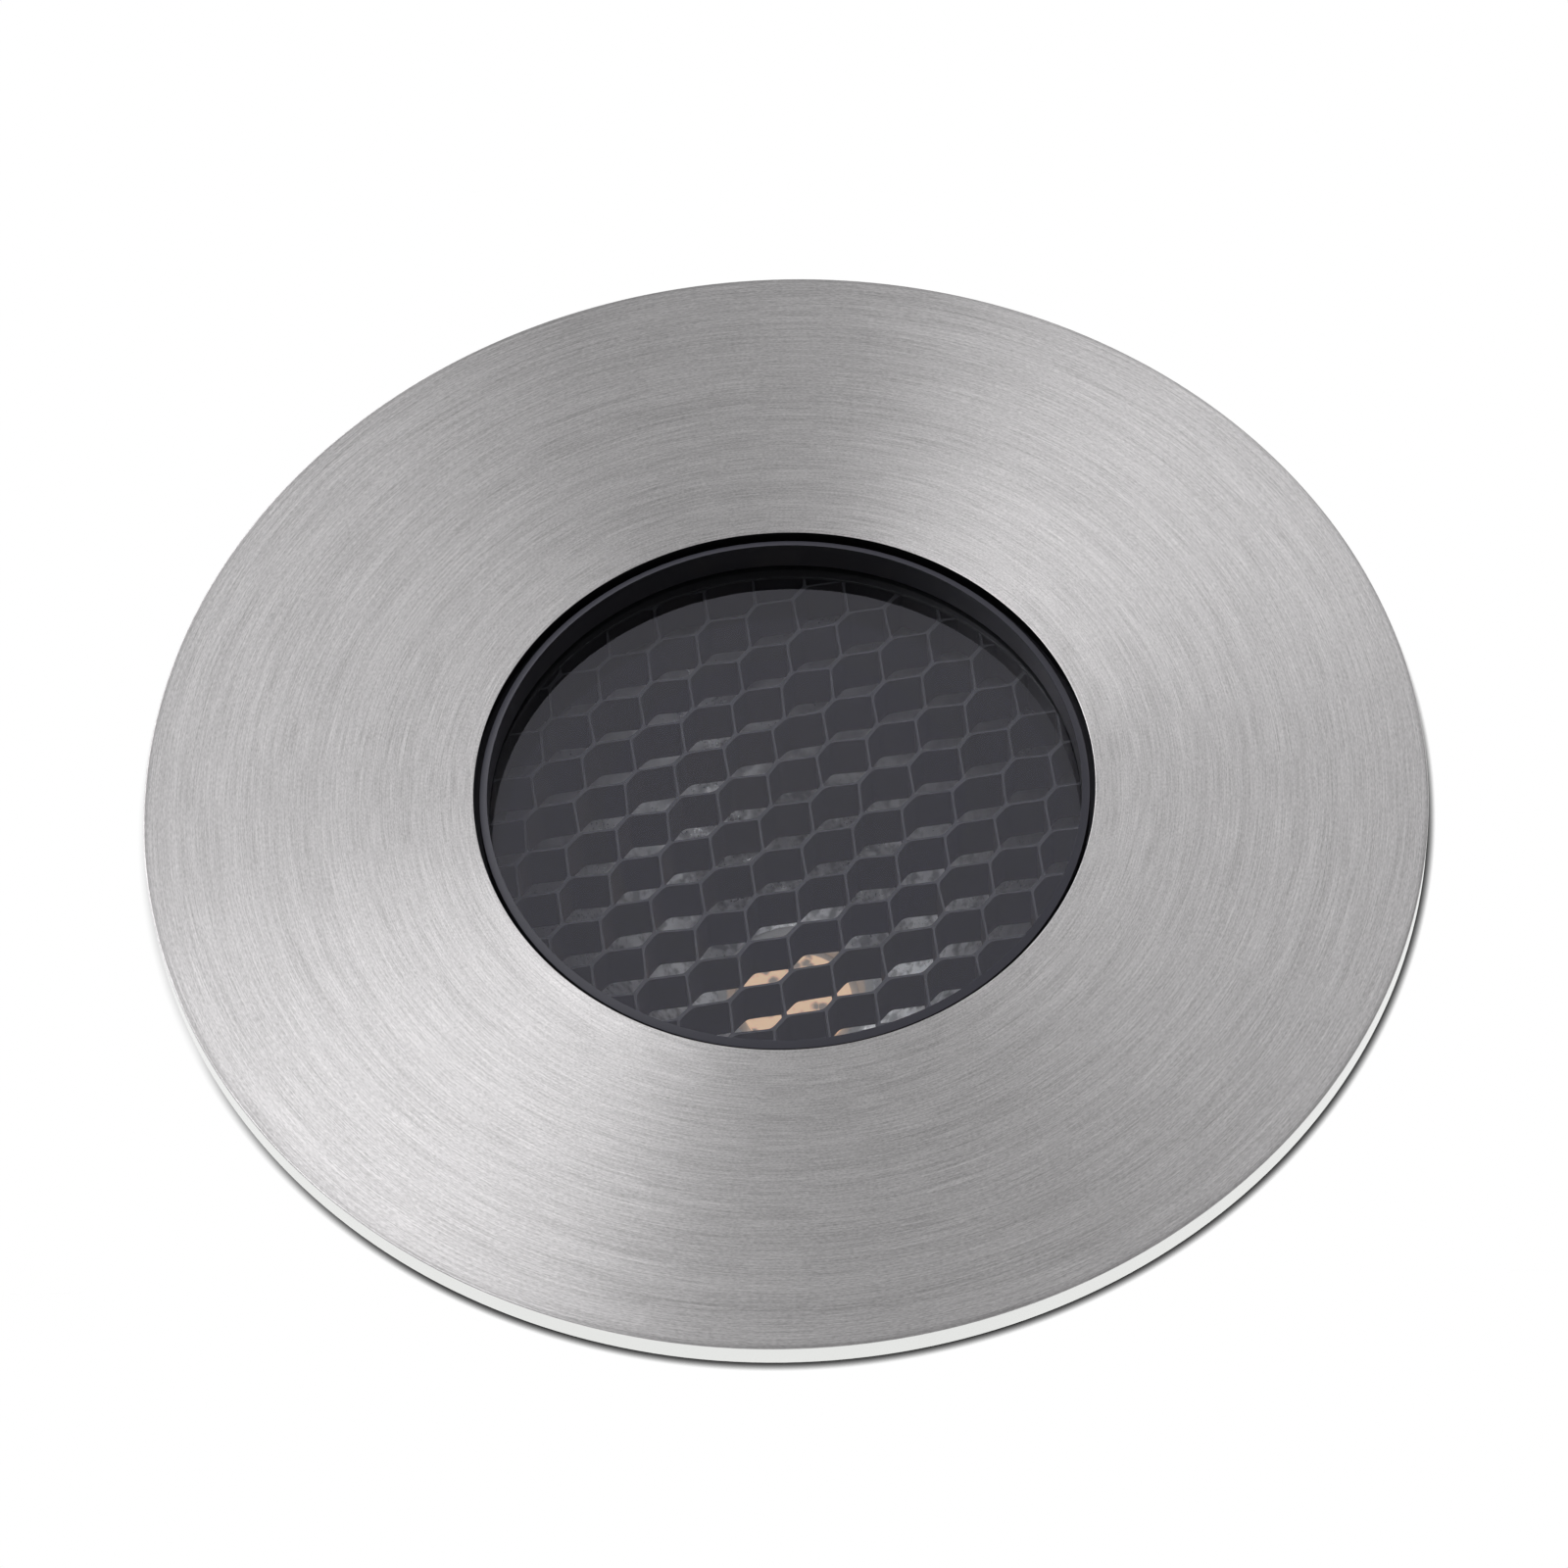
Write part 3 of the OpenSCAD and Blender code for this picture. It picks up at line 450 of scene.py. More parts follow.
def rounded(cad_node, slot, material, width, segments=2, sharp=25):
    """A finer copy of a CAD node, with its sharp edges rounded to this width in millimetres"""
    form = bmesh.new()
    form.from_mesh(frame["nodes"][cad_node].data)
    bmesh.ops.remove_doubles(form, verts=form.verts, dist=0.002 * MM)
    bmesh.ops.dissolve_limit(form, angle_limit=math.radians(0.5), verts=form.verts, edges=form.edges)
    edges = [e for e in form.edges if len(e.link_faces) == 2 and e.calc_face_angle() > math.radians(sharp)]
    bmesh.ops.bevel(form, geom=edges, offset=width * MM, offset_type="OFFSET", segments=segments,
                    profile=0.5, affect="EDGES", clamp_overlap=True)
    bmesh.ops.recalc_face_normals(form, faces=form.faces)
    return stands_for(evenly_shaded(placed(cad_node + "_finished", form, material, 50)), slot, cad_node)


def joined(name, parts):
    """One object from several that have the same materials"""
    form = bmesh.new()
    for part in parts:
        form.from_mesh(part.data)
    made = placed(name, form, parts[0].data.materials[0], 60)
    for material in parts[0].data.materials[1:]:
        made.data.materials.append(material)
    for part in parts:
        bpy.data.objects.remove(part)
    return evenly_shaded(made)


# ---------------------------------------------------------------- stage


class SPOTLIGHT_OT_stage(bpy.types.Operator):
    """Sets the camera, the pale floor, the panel, the soft lamps and the surroundings"""
    bl_idname = "spotlight.stage"
    bl_label = "Stage"

    def execute(self, context):
        scene = context.scene
        scene.view_settings.view_transform = "Standard"
        self.camera(scene)
        self.ground(scene.spotlight_sizes)
        self.surroundings(scene)
        for softbox in SOFTBOXES:
            self.softbox(*softbox)
        return {"FINISHED"}

    def camera(self, scene):
        camera = bpy.data.objects.new("camera", bpy.data.cameras.new("camera"))
        scene.collection.objects.link(camera)
        camera.data.sensor_width = 36
        camera.data.lens = CAMERA_LENS
        aim = (CAMERA_AIM - CAMERA_AT).to_track_quat("-Z", "Y").to_matrix().to_4x4()
        roll = Matrix.Rotation(math.radians(CAMERA_ROLL), 4, "Z")
        camera.matrix_world = Matrix.Translation(CAMERA_AT * MM) @ aim @ roll
        scene.camera = camera

    def softbox(self, name, azimuth, height, spread, brightness):
        lamp = bpy.data.objects.new(name, bpy.data.lights.new(name, "AREA"))
        bpy.context.scene.collection.objects.link(lamp)
        radius = SOFTBOX_DISTANCE * math.tan(math.radians(spread))
        lamp.data.shape = "DISK"
        lamp.data.size = 2 * radius
        lamp.data.energy = brightness * math.pi * math.pi * radius ** 2
        a, e = math.radians(azimuth), math.radians(height)
        towards = Vector((math.cos(e) * math.cos(a), math.cos(e) * math.sin(a), math.sin(e)))
        lamp.location = towards * SOFTBOX_DISTANCE
        lamp.rotation_mode = "QUATERNION"
        lamp.rotation_quaternion = towards.to_track_quat("Z", "Y")
        lamp.visible_camera = False

    def white_ground(self, name, shade_reach, shade_power):
        """White where it is looked at, with a painted shadow where the two come close, and nothing from below"""
        material, tree, shader = new_material(name)
        feed(shader, {"Base Color": (0.8, 0.8, 0.8, 1), "Roughness": 0.9})
        path = node(tree, "LightPath").node.outputs
        near = node(tree, "AmbientOcclusion", {"Distance": shade_reach * MM}, samples=24, out="AO")
        # The painted shadow lies on the side away from the left rear softbox
        place = node(tree, "TexCoord", out="Object")
        outward = node(tree, "VectorMath", {0: place}, operation="NORMALIZE")
        side = node(tree, "VectorMath", {0: outward, 1: (-0.87, 0.5, 0.0)}, operation="DOT_PRODUCT", out="Value")
        power = node(tree, "MapRange", {"Value": side, "From Min": 0.05, "From Max": 0.6,
                                        "To Min": shade_power, "To Max": shade_power * 0.1})
        shade = node(tree, "Math", {0: near, 1: power}, operation="POWER")
        lit = node(tree, "Math", {0: shade, 1: path["Is Glossy Ray"]}, operation="MAXIMUM")
        white = node(tree, "Emission", {"Color": (1, 1, 1, 1), "Strength": lit})
        seen = path["Is Camera Ray"]
        for ray in ("Is Glossy Ray", "Is Transmission Ray"):
            seen = node(tree, "Math", {0: seen, 1: path[ray]}, operation="MAXIMUM")
        upper = node(tree, "MixShader", {0: seen, 1: shader.outputs[0], 2: white})
        under = node(tree, "NewGeometry", out="Backfacing")
        clear = node(tree, "BsdfTransparent")
        both = node(tree, "MixShader", {0: under, 1: upper, 2: clear})
        feed(tree.nodes["Material Output"], {"Surface": both})
        return material

    def ground(self, sizes):
        low = CAD_BOX[0].z / MM
        floor = new_piece("floor", *self.flat_ring(0, sizes.floor_radius / MM, low - 0.2),
                          self.white_ground("white floor", 14, 1.0), closed=False)
        panel = new_piece("panel", *self.flat_ring(PANEL_HOLE_R, sizes.panel_radius / MM, -0.02, PANEL_SHIFT),
                          self.white_ground("white panel", 0.75, 4.6), closed=False)
        # The panel hides the body behind it, as when it is let in, and takes no light from it
        panel.visible_shadow = False
        panel.visible_diffuse = False

    def flat_ring(self, inner, outer, height, towards_camera=0, sides=128):
        points = [(x, y, height) for x, y in circle(outer, sides, (0, -towards_camera))]
        if not inner:
            return points, [tuple(range(sides))]
        points += [(x, y, height) for x, y in circle(inner, sides)]
        return points, [(k, (k + 1) % sides, sides + (k + 1) % sides, sides + k) for k in range(sides)]

    def surroundings(self, scene):
        """White for the background, and for metal and glass white at the horizon under a dimmer ceiling"""
        world = bpy.data.worlds.new("studio")
        scene.world = world
        world.use_nodes = True
        tree = world.node_tree
        path = node(tree, "LightPath").node.outputs
        height = node(tree, "SeparateXYZ", {0: node(tree, "TexCoord", out="Generated")}, out="Z")
        # sin(6) and sin(16) degrees: where the white wall ends and where the ceiling begins
        ceiling = node(tree, "MapRange", {"Value": height, "From Min": 0.105, "From Max": 0.276,
                                          "To Min": 1.0, "To Max": 0.45})
        plain = node(tree, "Mix", {"Factor": path["Is Glossy Ray"], 2: 0.5, 3: ceiling}, data_type="FLOAT")
        seen = node(tree, "Math", {0: path["Is Camera Ray"], 1: path["Is Transmission Ray"]}, operation="MAXIMUM")
        strength = node(tree, "Math", {0: plain, 1: seen}, operation="MAXIMUM")
        feed(tree.nodes["Background"], {"Strength": strength, "Color": (1, 1, 1, 1)})


# ---------------------------------------------------------------- pieces


class SPOTLIGHT_OT_bezel(bpy.types.Operator):
    """Turns the brushed steel bezel, with its rounded edges and the groove for its gasket"""
    bl_idname = "spotlight.bezel"
    bl_label = "Bezel"

    def execute(self, context):
        sizes, colours = context.scene.spotlight_sizes, context.scene.spotlight_colours
        _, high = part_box("bezel_ring")
        outer, top = high.x / MM, high.z / MM
        groove_out, groove_in = GASKET_R + 0.1, GASKET_R - GASKET_W - 0.1
        outline = filleted([
            (OPENING_R, 0, 0.12), (groove_in, 0, 0.05), (groove_in, GASKET_T, 0), (groove_out, GASKET_T, 0),
            (groove_out, 0, 0.05), (outer, 0, 0.15), (outer, top, sizes.bezel_fillet / MM),
            (OPENING_R, top, sizes.opening_fillet / MM),
        ], 6)
        plate = turned("bezel_plate", outline, brushed_stainless_steel(colours.steel), 256)
        # The opening is cut smooth after the face is brushed, so its wall mirrors the black collar beside it
        wall = surface("turned stainless steel", colours.steel, 1.0, 0.12, 0.1, 0.0005)
        faced(plate, wall, lambda at, face: at.xy.length < OPENING_R + 0.005)
        # The outer edge is cut by a laser and polished, and its colour is painted brighter than the steel: a painted
        # reflection of the white ground below
        painted_bright_edge = surface("polished stainless steel edge painted brighter", linear("#e4e5e3"), 1.0, 0.22, 0.15, 0.0005, 0.04)
        faced(plate, painted_bright_edge, lambda at, face: at.xy.length > outer * 0.99 and abs(face.normal.z) < 0.4)
        stands_for(plate, "bezel_steel", "bezel_ring")
        return {"FINISHED"}


class SPOTLIGHT_OT_collar(bpy.types.Operator):
    """Finishes the black collar that clamps the glass, and its countersunk screws"""
    bl_idname = "spotlight.collar"
    bl_label = "Collar"

    def execute(self, context):
        anodised = self.black_anodised_aluminium(context.scene.spotlight_colours.collar)
        # Steel in black oxide: oily and darker than the collar
        oxide = surface("black oxide steel", linear("#303133"), 0.9, 0.38, 0.2, 0.002)
        rounded("glass_collar", "black_collar", anodised, 0.07)
        rounded("collar_screws", "black_screws", oxide, 0.06)
        return {"FINISHED"}

    def black_anodised_aluminium(self, rgb):
        """Turned, then anodised black, with painted light: its upper faces are painted grey where light falls on them,
        and its bore stays black
        """
        material = surface("black anodised aluminium", rgb, 0.0, 0.4, 0.12, 0.002, specular=0.2)
        painted_light_on_upper_faces(material, tuple(5.2 * c for c in rgb), 0.45, 0.75)
        return material


class SPOTLIGHT_OT_glass(bpy.types.Operator):
    """Turns the flat glass with its ground and polished edge"""
    bl_idname = "spotlight.glass"
    bl_label = "Glass"

    def execute(self, context):
        low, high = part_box("glass_lens")
        top, bottom = high.z / MM, low.z / MM
        outline = filleted([(0, bottom, 0), (GLASS_R, bottom, 0.35), (GLASS_R, top, 0.35), (0, top, 0)], 5)
        tint = context.scene.spotlight_colours.glass
        # A hard coat on the face doubles its reflection: the grey veil that the collar's shadow cuts off sharply
        coated = toughened_glass("hard coated glass", tint, (0.55, 0.53, 0.8, 1), 1.0)
        disc = turned("glass_disc", outline, coated, 160)
        # The inner face is bloomed: only a faint blue second image of the collar lies beside the first
        bloomed = toughened_glass("bloomed glass", tint, (0.06, 0.06, 0.12, 1), 0.0)
        faced(disc, bloomed, lambda at, face: face.normal.z < -0.9)
        stands_for(disc, "lens_glass", "glass_lens")
        return {"FINISHED"}


class SPOTLIGHT_OT_louver(bpy.types.Operator):
    """Builds the honeycomb of painted foil and the hoop that holds it"""
    bl_idname = "spotlight.louver"
    bl_label = "Louver"

    def execute(self, context):
        sizes, colours = context.scene.spotlight_sizes, context.scene.spotlight_colours
        # Aluminium foil dipped in matt black paint: flat black walls, with a painted highlight on the cut edges that
        # look up
        paint = surface("black painted foil", colours.louver, 0.0, 0.6, 0.15, 0.01, 0.12, specular=0.25)
        painted_light_on_upper_faces(paint, linear("#3a3a3d"), 0.8, 0.95)
        rounded("louver_hoop", "louver_black", paint, 0.08)
        low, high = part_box("honeycomb_louver")
        points, faces = self.foil(low.z / MM, high.z / MM, sizes.foil_unevenness / MM)
        stands_for(new_piece("honeycomb_foil", points, faces, paint, 40), "louver_black", "honeycomb_louver")
        return {"FINISHED"}

    def corner(self, spot, stray):
        """Where a corner of the lattice really lies"""
        drift = noise.noise_vector(Vector((spot.x * 0.9, spot.y * 0.9, 3.7)))
        return Vector((spot.x + stray * 1.6 * drift.x, spot.y + stray * 1.6 * drift.y))

    def cell(self, x, y, turn, stray):
        """One cell's inner outline: two glued sides, twice as thick, and four free ones that leave them in a bend"""
        high = CELL_W / 2
        reach = CELL_W * math.sin(math.radians(60)) - CELL_GLUE / 2
        half = CELL_GLUE / 2
        plain = ((reach, 0), (half, high), (-half, high), (-reach, 0), (-half, -high), (half, -high))
        lean = Matrix.Rotation(math.radians(30), 2)
        corners = [self.corner(turn @ (lean @ Vector(p) + Vector((x, y))), stray) for p in plain]
        thick = [FOIL_T * (0.9 if k in (1, 4) else 0.5) for k in range(6)]
        outline = []
        for k in range(6):
            start, end = corners[k], corners[(k + 1) % 6]
            along = (end - start).normalized()
            before = (start - corners[k - 1]).normalized()
            a = start + Vector((-before.y, before.x)) * thick[k - 1]
            b = start + Vector((-along.y, along.x)) * thick[k]
            cross = before.x * along.y - before.y * along.x
            meet = a + before * (((b - a).x * along.y - (b - a).y * along.x) / cross)
            if k in (0, 3):
                outline.append(meet)
                continue
            # The bend where a foil leaves the glue
            for t in (0, 0.35, 0.65, 1):
                outline.append((meet - before * BEND).lerp(meet, t).lerp(meet.lerp(meet + along * BEND, t), t))
        return outline

    def foil(self, low, high, stray):
        # Without a seed, Blender's noise vectors differ from run to run
        noise.seed_set(FOIL_SEED)
        turn = Matrix.Rotation(math.radians(LOUVER_TURN), 2)
        rows = math.ceil(FOIL_R / CELL_W * 1.2)
        holes = []
        for j in range(-rows, rows + 1):
            for i in range(-rows, rows + 1):
                x, y = (i + (j % 2) / 2) * CELL_W, j * CELL_W * math.sin(math.radians(60))
                if math.hypot(x, y) < FOIL_R + CELL_W * 0.7:
                    hole = self.inside_circle(self.cell(x, y, turn, stray), FOIL_R - FOIL_T)
                    if len(hole) > 2 and self.area(hole) > 0.3:
                        holes.append(hole)
        flat, outlines = [Vector(p) for p in circle(FOIL_R, 180)], [list(range(180))]
        for hole in holes:
            outlines.append(list(range(len(flat), len(flat) + len(hole))))
            flat += hole
        spots, _, tops, _, _, owners = geometry.delaunay_2d_cdt(flat, [], outlines, 1, 1e-6)
        count = len(spots)
        points = [(p.x, p.y, high) for p in spots] + [(p.x, p.y, low) for p in spots]
        faces, edges = [], {}
        for face, owner in zip(tops, owners):
            if owner != [0]:
                continue
            faces += [tuple(face), tuple(i + count for i in reversed(face))]
            for a, b in zip(face, face[1:] + face[:1]):
                if not edges.pop((b, a), False):
                    edges[a, b] = True
        faces += [(a, a + count, b + count, b) for a, b in edges]
        used = sorted({i for face in faces for i in face})
        renamed = {old: new for new, old in enumerate(used)}
        return [points[i] for i in used], [tuple(renamed[i] for i in face) for face in faces]

    def area(self, outline):
        return abs(sum(a.x * b.y - b.x * a.y for a, b in zip(outline, outline[1:] + outline[:1]))) / 2

    def inside_circle(self, outline, radius, sides=180):
        """The part of an outline that lies within a circle"""
        if all(p.length < radius * math.cos(math.pi / sides) for p in outline):
            return outline
        for k in range(sides):
            a = 2 * math.pi * (k + 0.5) / sides
            out = Vector((math.cos(a), math.sin(a)))
            limit = radius * math.cos(math.pi / sides)
            kept = []
            for start, end in zip(outline, outline[1:] + outline[:1]):
                s, e = start.dot(out) - limit, end.dot(out) - limit
                if s <= 0:
                    kept.append(start)
                if s * e < 0:
                    kept.append(start.lerp(end, s / (s - e)))
            outline = kept
            if len(outline) < 3:
                return []
        return [p for i, p in enumerate(outline) if (p - outline[i - 1]).length > 0.02]


class SPOTLIGHT_OT_reflector(bpy.types.Operator):
    """Turns the reflector and hammers its inner face"""
    bl_idname = "spotlight.reflector"
    bl_label = "Reflector"

    def execute(self, context):
        sizes, colours = context.scene.spotlight_sizes, context.scene.spotlight_colours
        low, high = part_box("reflector")
        top, bottom = high.z / MM, low.z / MM
        seat = top - REFLECTOR_T
        rise = (top - bottom) / (MOUTH_R ** 2 - THROAT_R ** 2)
        width, depth = sizes.dimple_width / MM, sizes.dimple_depth / MM
        sides, steps, back_steps = 420, 84, 14

        def bowl(share):
            r = THROAT_R + (MOUTH_R - THROAT_R) * share
            return r, bottom + (r * r - THROAT_R ** 2) * rise

        points = []
        for i in range(steps + 1):
            r, z = bowl(i / steps)
            slope = math.atan(2 * r * rise)
            # The dimples die away at the throat and under the rim
            fade = min(1, 3 * i / steps, 6 * (steps - i) / steps)
            for x, y in circle(r, sides):
                near = noise.voronoi(Vector((x, y, z)) / width)[0][0]
                dent = depth * (near * near - 0.5) * fade * 2
                out = (r - dent * math.sin(slope)) / r
                points.append((out * x, out * y, z + dent * math.cos(slope)))
        back = [(HOOP_OR, top), (HOOP_OR, seat)]
        back += [(r + REFLECTOR_T, min(z, seat)) for r, z in (bowl(i / back_steps) for i in range(back_steps, -1, -1))]
        for r, z in back:
            points += [(x, y, z) for x, y in circle(r, sides)]
        rings = [list(range(i, i + sides)) for i in range(0, len(points), sides)]
        bright = self.hammered_aluminium(colours.reflector, bottom, top)
        stands_for(new_piece("hammered_dish", points, bands(rings), bright, 50), "reflector_aluminium", "reflector")
        return {"FINISHED"}

    def hammered_aluminium(self, rgb, bottom, top):
        """Spun, hammered, brightened and anodised: each dimple holds a small sharp highlight"""
        material = surface("hammered bright anodised aluminium", rgb, 1.0, 0.3, 0.3, 0.0015, 0.04)
        tree = material.node_tree
        place = node(tree, "TexCoord", out="Object")
        height = node(tree, "SeparateXYZ", {0: place}, out="Z")
        # Painted shade: the colour darkens towards the mouth, where the louver holds back the light
        painted_shade_at_mouth = node(tree, "MapRange", {"Value": height, "From Min": (bottom + 1) * MM, "From Max": (top - 1) * MM,
                                        "To Max": 0.66})
        overlaid(material, painted_shade_at_mouth, (0.03, 0.03, 0.033))
        # Painted reflection: low down, dark clouds about a millimetre across stand in for what the dimples mirror
        reflection_clouds = node(tree, "TexNoise", {"Vector": place, "Scale": 1 / (1.1 * MM), "Detail": 2.0}, out="Fac")
        painted_dark_reflection = node(tree, "MapRange", {"Value": reflection_clouds, "From Min": 0.44, "From Max": 0.62, "To Max": 0.6})
        painted_reflection_low = node(tree, "MapRange", {"Value": height, "From Min": (bottom + 6) * MM, "From Max": (bottom + 13) * MM,
                                       "To Min": 1.0, "To Max": 0.15})
        overlaid(material, node(tree, "Math", {0: painted_dark_reflection, 1: painted_reflection_low}, operation="MULTIPLY"), (0.06, 0.06, 0.065))
        return material


class SPOTLIGHT_OT_light_source(bpy.types.Operator):
    """Finishes the array light source, its holder and the heat sink that carries them"""
    bl_idname = "spotlight.light_source"
    bl_label = "Light source"

    def execute(self, context):
        colours = context.scene.spotlight_colours
        # Sintered alumina under a white solder mask: an even chalky white
        ceramic = surface("white masked alumina", linear("#e6e6e2"), 0.0, 0.4, 0.3, 0.002, 0.02)
        phosphor = self.phosphor_silicone(colours.phosphor)
        # Glass-filled PBT, moulded: white with a faint gloss
        moulded = surface("white moulded PBT", linear("#eeede8"), 0.0, 0.45, 0.35, 0.006, 0.02)
        # Silicone with ceramic powder: a dry grey pad
        pad = surface("thermal silicone pad", linear("#6d7074"), 0.0, 0.8, 0.15, 0.01)
        # Plate turned on a lathe: bare aluminium
        plate = surface("turned bare aluminium", linear("#b4b6b8"), 1.0, 0.38, 0.12, 0.003)
        rounded("led_board", "array_board", ceramic, 0.06)
        rounded("led_phosphor", "array_phosphor", phosphor, 0.18, 4)
        rounded("led_holder", "white_holder", moulded, 0.2)
        rounded("thermal_pad", "thermal_grey", pad, 0.04)
        rounded("heat_sink", "bare_aluminium", plate, 0.15)
        return {"FINISHED"}

    def phosphor_silicone(self, rgb):
        """Silicone filled with phosphor, poured over rows of chips: pale and pinkish, with dull spots over the chips
        and a painted glow
        """
        material = surface("phosphor silicone", rgb, 0.0, 0.35, 0.25, 0.008, 0.06)
        tree = material.node_tree
        place = node(tree, "TexCoord", out="Object")
        wander = node(tree, "TexNoise", {"Vector": place, "Scale": 1 / (1.2 * MM), "Detail": 2.0}, out="Color")
        moved = node(tree, "VectorMath", {0: wander, 1: (0.9 * MM,) * 3, 2: place}, operation="MULTIPLY_ADD")
        chips = node(tree, "TexVoronoi", {"Vector": moved, "Scale": 1 / (1.3 * MM)}, out="Distance")
        spot = node(tree, "MapRange", {"Value": chips, "From Min": 0.24, "From Max": 0.5,
                                       "To Min": 1.0, "To Max": 0.0})
        tone = overlaid(material, spot, linear("#8c8178"))
        # A painted glow: it shines with its own colour whatever light falls on it
        feed(tree.nodes["Principled BSDF"], {"Emission Color": tone, "Emission Strength": 0.55})
        return material


class SPOTLIGHT_OT_housing(bpy.types.Operator):
    """Finishes the finned housing and its rear cover"""
    bl_idname = "spotlight.housing"
    bl_label = "Housing"

    def execute(self, context):
        # Die-cast aluminium, powder coated: soft edges and a fine orange peel that scatters the light
        coat = surface("black powder coated die-cast aluminium", context.scene.spotlight_colours.housing,
                       0.0, 0.48, 0.4, 0.03, 0.1, 14)
        rounded("housing_body", "housing_black", coat, 0.25)
        rounded("rear_cover", "housing_black", coat, 0.3)
        return {"FINISHED"}


class SPOTLIGHT_OT_driver(bpy.types.Operator):
    """Builds the driver's board, its winding pieces, capacitors and terminals"""
    bl_idname = "spotlight.driver"
    bl_label = "Driver"

    def execute(self, context):
        colours = context.scene.spotlight_colours
        # Epoxy glass board under green solder mask: glossy, with the weave just to be seen
        mask = surface("FR4 board with green solder mask", colours.board, 0.0, 0.35, 0.6, 0.004, 0.1)
        # Moulded polyamide: an even green with a faint gloss
        green = surface("green moulded polyamide", linear("#2f7a4f"), 0.0, 0.45, 0.3, 0.006)
        # Turned brass: bright yellow, with the fine rings of the lathe
        brass = surface("turned brass", linear("#c9a75a"), 1.0, 0.3, 0.12, 0.003)
        # Pressed and sintered ferrite: dark, dense and matt
        ferrite = surface("sintered ferrite", linear("#3b3a38"), 0.1, 0.6, 0.2, 0.01)
        rounded("driver_board", "green_board", mask, 0.05)
        rounded("board_standoffs", "standoff_brass", brass, 0.12)
        rounded("terminal_block", "terminal_green", green, 0.15)
        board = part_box("driver_board")[0].z / MM
        self.transformer(ferrite)
        self.capacitors(board)
        self.chokes(board, ferrite)
        return {"FINISHED"}

    def transformer(self, ferrite):
        """Rounds the core, and gives the winding its tape and the pins their tin"""
        # Polyester tape over the winding: smooth and yellow, with its layers to be felt
        tape = surface("yellow polyester tape", linear("#c9a53c"), 0.0, 0.32, 0.8, 0.01, 0.05)
        # Tinned wire: pale grey and shiny
        tinned = surface("tinned wire", linear("#c2c4c6"), 1.0, 0.3, 0.15, 0.002)
        rounded("driver_transformer", "ferrite", ferrite, 0.12)
        piece = bpy.data.objects["driver_transformer_finished"]
        x, y = TRANSFORMER
        beside_core = TRANSFORMER_CORE_W / 2 + 0.01
        faced(piece, tape, lambda at, face: abs(at.y - y) > beside_core)
        # The pins are the small faces near the bobbin's ends
        faced(piece, tinned, lambda at, face: abs(at.y - y) > beside_core and abs(at.x - x) > 4.5
              and face.area < 2 * MM * MM)

    def capacitors(self, board):
        # Shrunk PET sleeve over an aluminium can: glossy and dark blue, rolled over the rim of the bare end
        sleeve = surface("PET capacitor sleeve", linear("#28303c"), 0.0, 0.3, 0.5, 0.003)
        # Impact-extruded aluminium, bare: pale, with a dull shine
        bare = surface("impact extruded aluminium", linear("#b9bbbd"), 1.0, 0.4, 0.25, 0.003)
        cans = []
        for x, y, radius, height in CANS:
            low = board - height
            outline = filleted([
                (0, board, 0), (0, low + 0.2, 0), (radius - 0.75, low + 0.2, 0.05), (radius - 0.75, low, 0.1),
                (radius, low, 0.3), (radius, board - 1.4, 0.12), (radius - 0.25, board - 1.25, 0.08),
                (radius - 0.25, board - 0.95, 0.08), (radius, board - 0.8, 0.12), (radius, board, 0.12)], 4)
            can = turned("can", outline, sleeve, 48, centre=(x, y))
            middle = Vector((x, y))
            faced(can, bare, lambda at, face: at.z < board - 1 and (at.xy - middle).length < radius - 0.7)
            cans.append(can)
        stands_for(joined("sleeved_capacitors", cans), "capacitor_sleeve", "driver_capacitors")

    def chokes(self, board, ferrite):
        # Enamelled copper wire, wound in one close layer: each turn is a thin bright line
        wire = surface("enamelled copper wire", linear("#9a5a34"), 0.7, 0.3, 0.25, 0.002)
        core_r = CHOKE_FLANGE_R - 0.5 - 2 * CHOKE_WIRE_R
        coil_r = core_r + CHOKE_WIRE_R
        steps = CHOKE_TURNS * CHOKE_TURN_STEPS
        drums, windings = [], []
        for x, y in CHOKES:
            low, first, last = board - CHOKE_H, board - CHOKE_FLANGE, board - CHOKE_H + CHOKE_FLANGE
            outline = filleted([
                (0, board, 0), (0, low, 0), (CHOKE_FLANGE_R, low, 0.15), (CHOKE_FLANGE_R, last, 0.15),
                (core_r, last, 0), (core_r, first, 0), (CHOKE_FLANGE_R, first, 0.15),
                (CHOKE_FLANGE_R, board, 0.15)], 3)
            drums.append(turned("drum", outline, ferrite, 48, centre=(x, y)))
            coil = []
            for i in range(steps + 1):
                a = 2 * math.pi * i / CHOKE_TURN_STEPS
                coil.append((x + coil_r * math.cos(a), y + coil_r * math.sin(a),
                             first - CHOKE_WIRE_R - (first - last - 2 * CHOKE_WIRE_R) * i / steps))
            windings.append(swept("winding", coil, CHOKE_WIRE_R, wire, 8))
        stands_for(joined("choke_drums", drums), "ferrite", "driver_chokes")
        stands_for(joined("choke_windings", windings), "choke_copper", "driver_chokes")


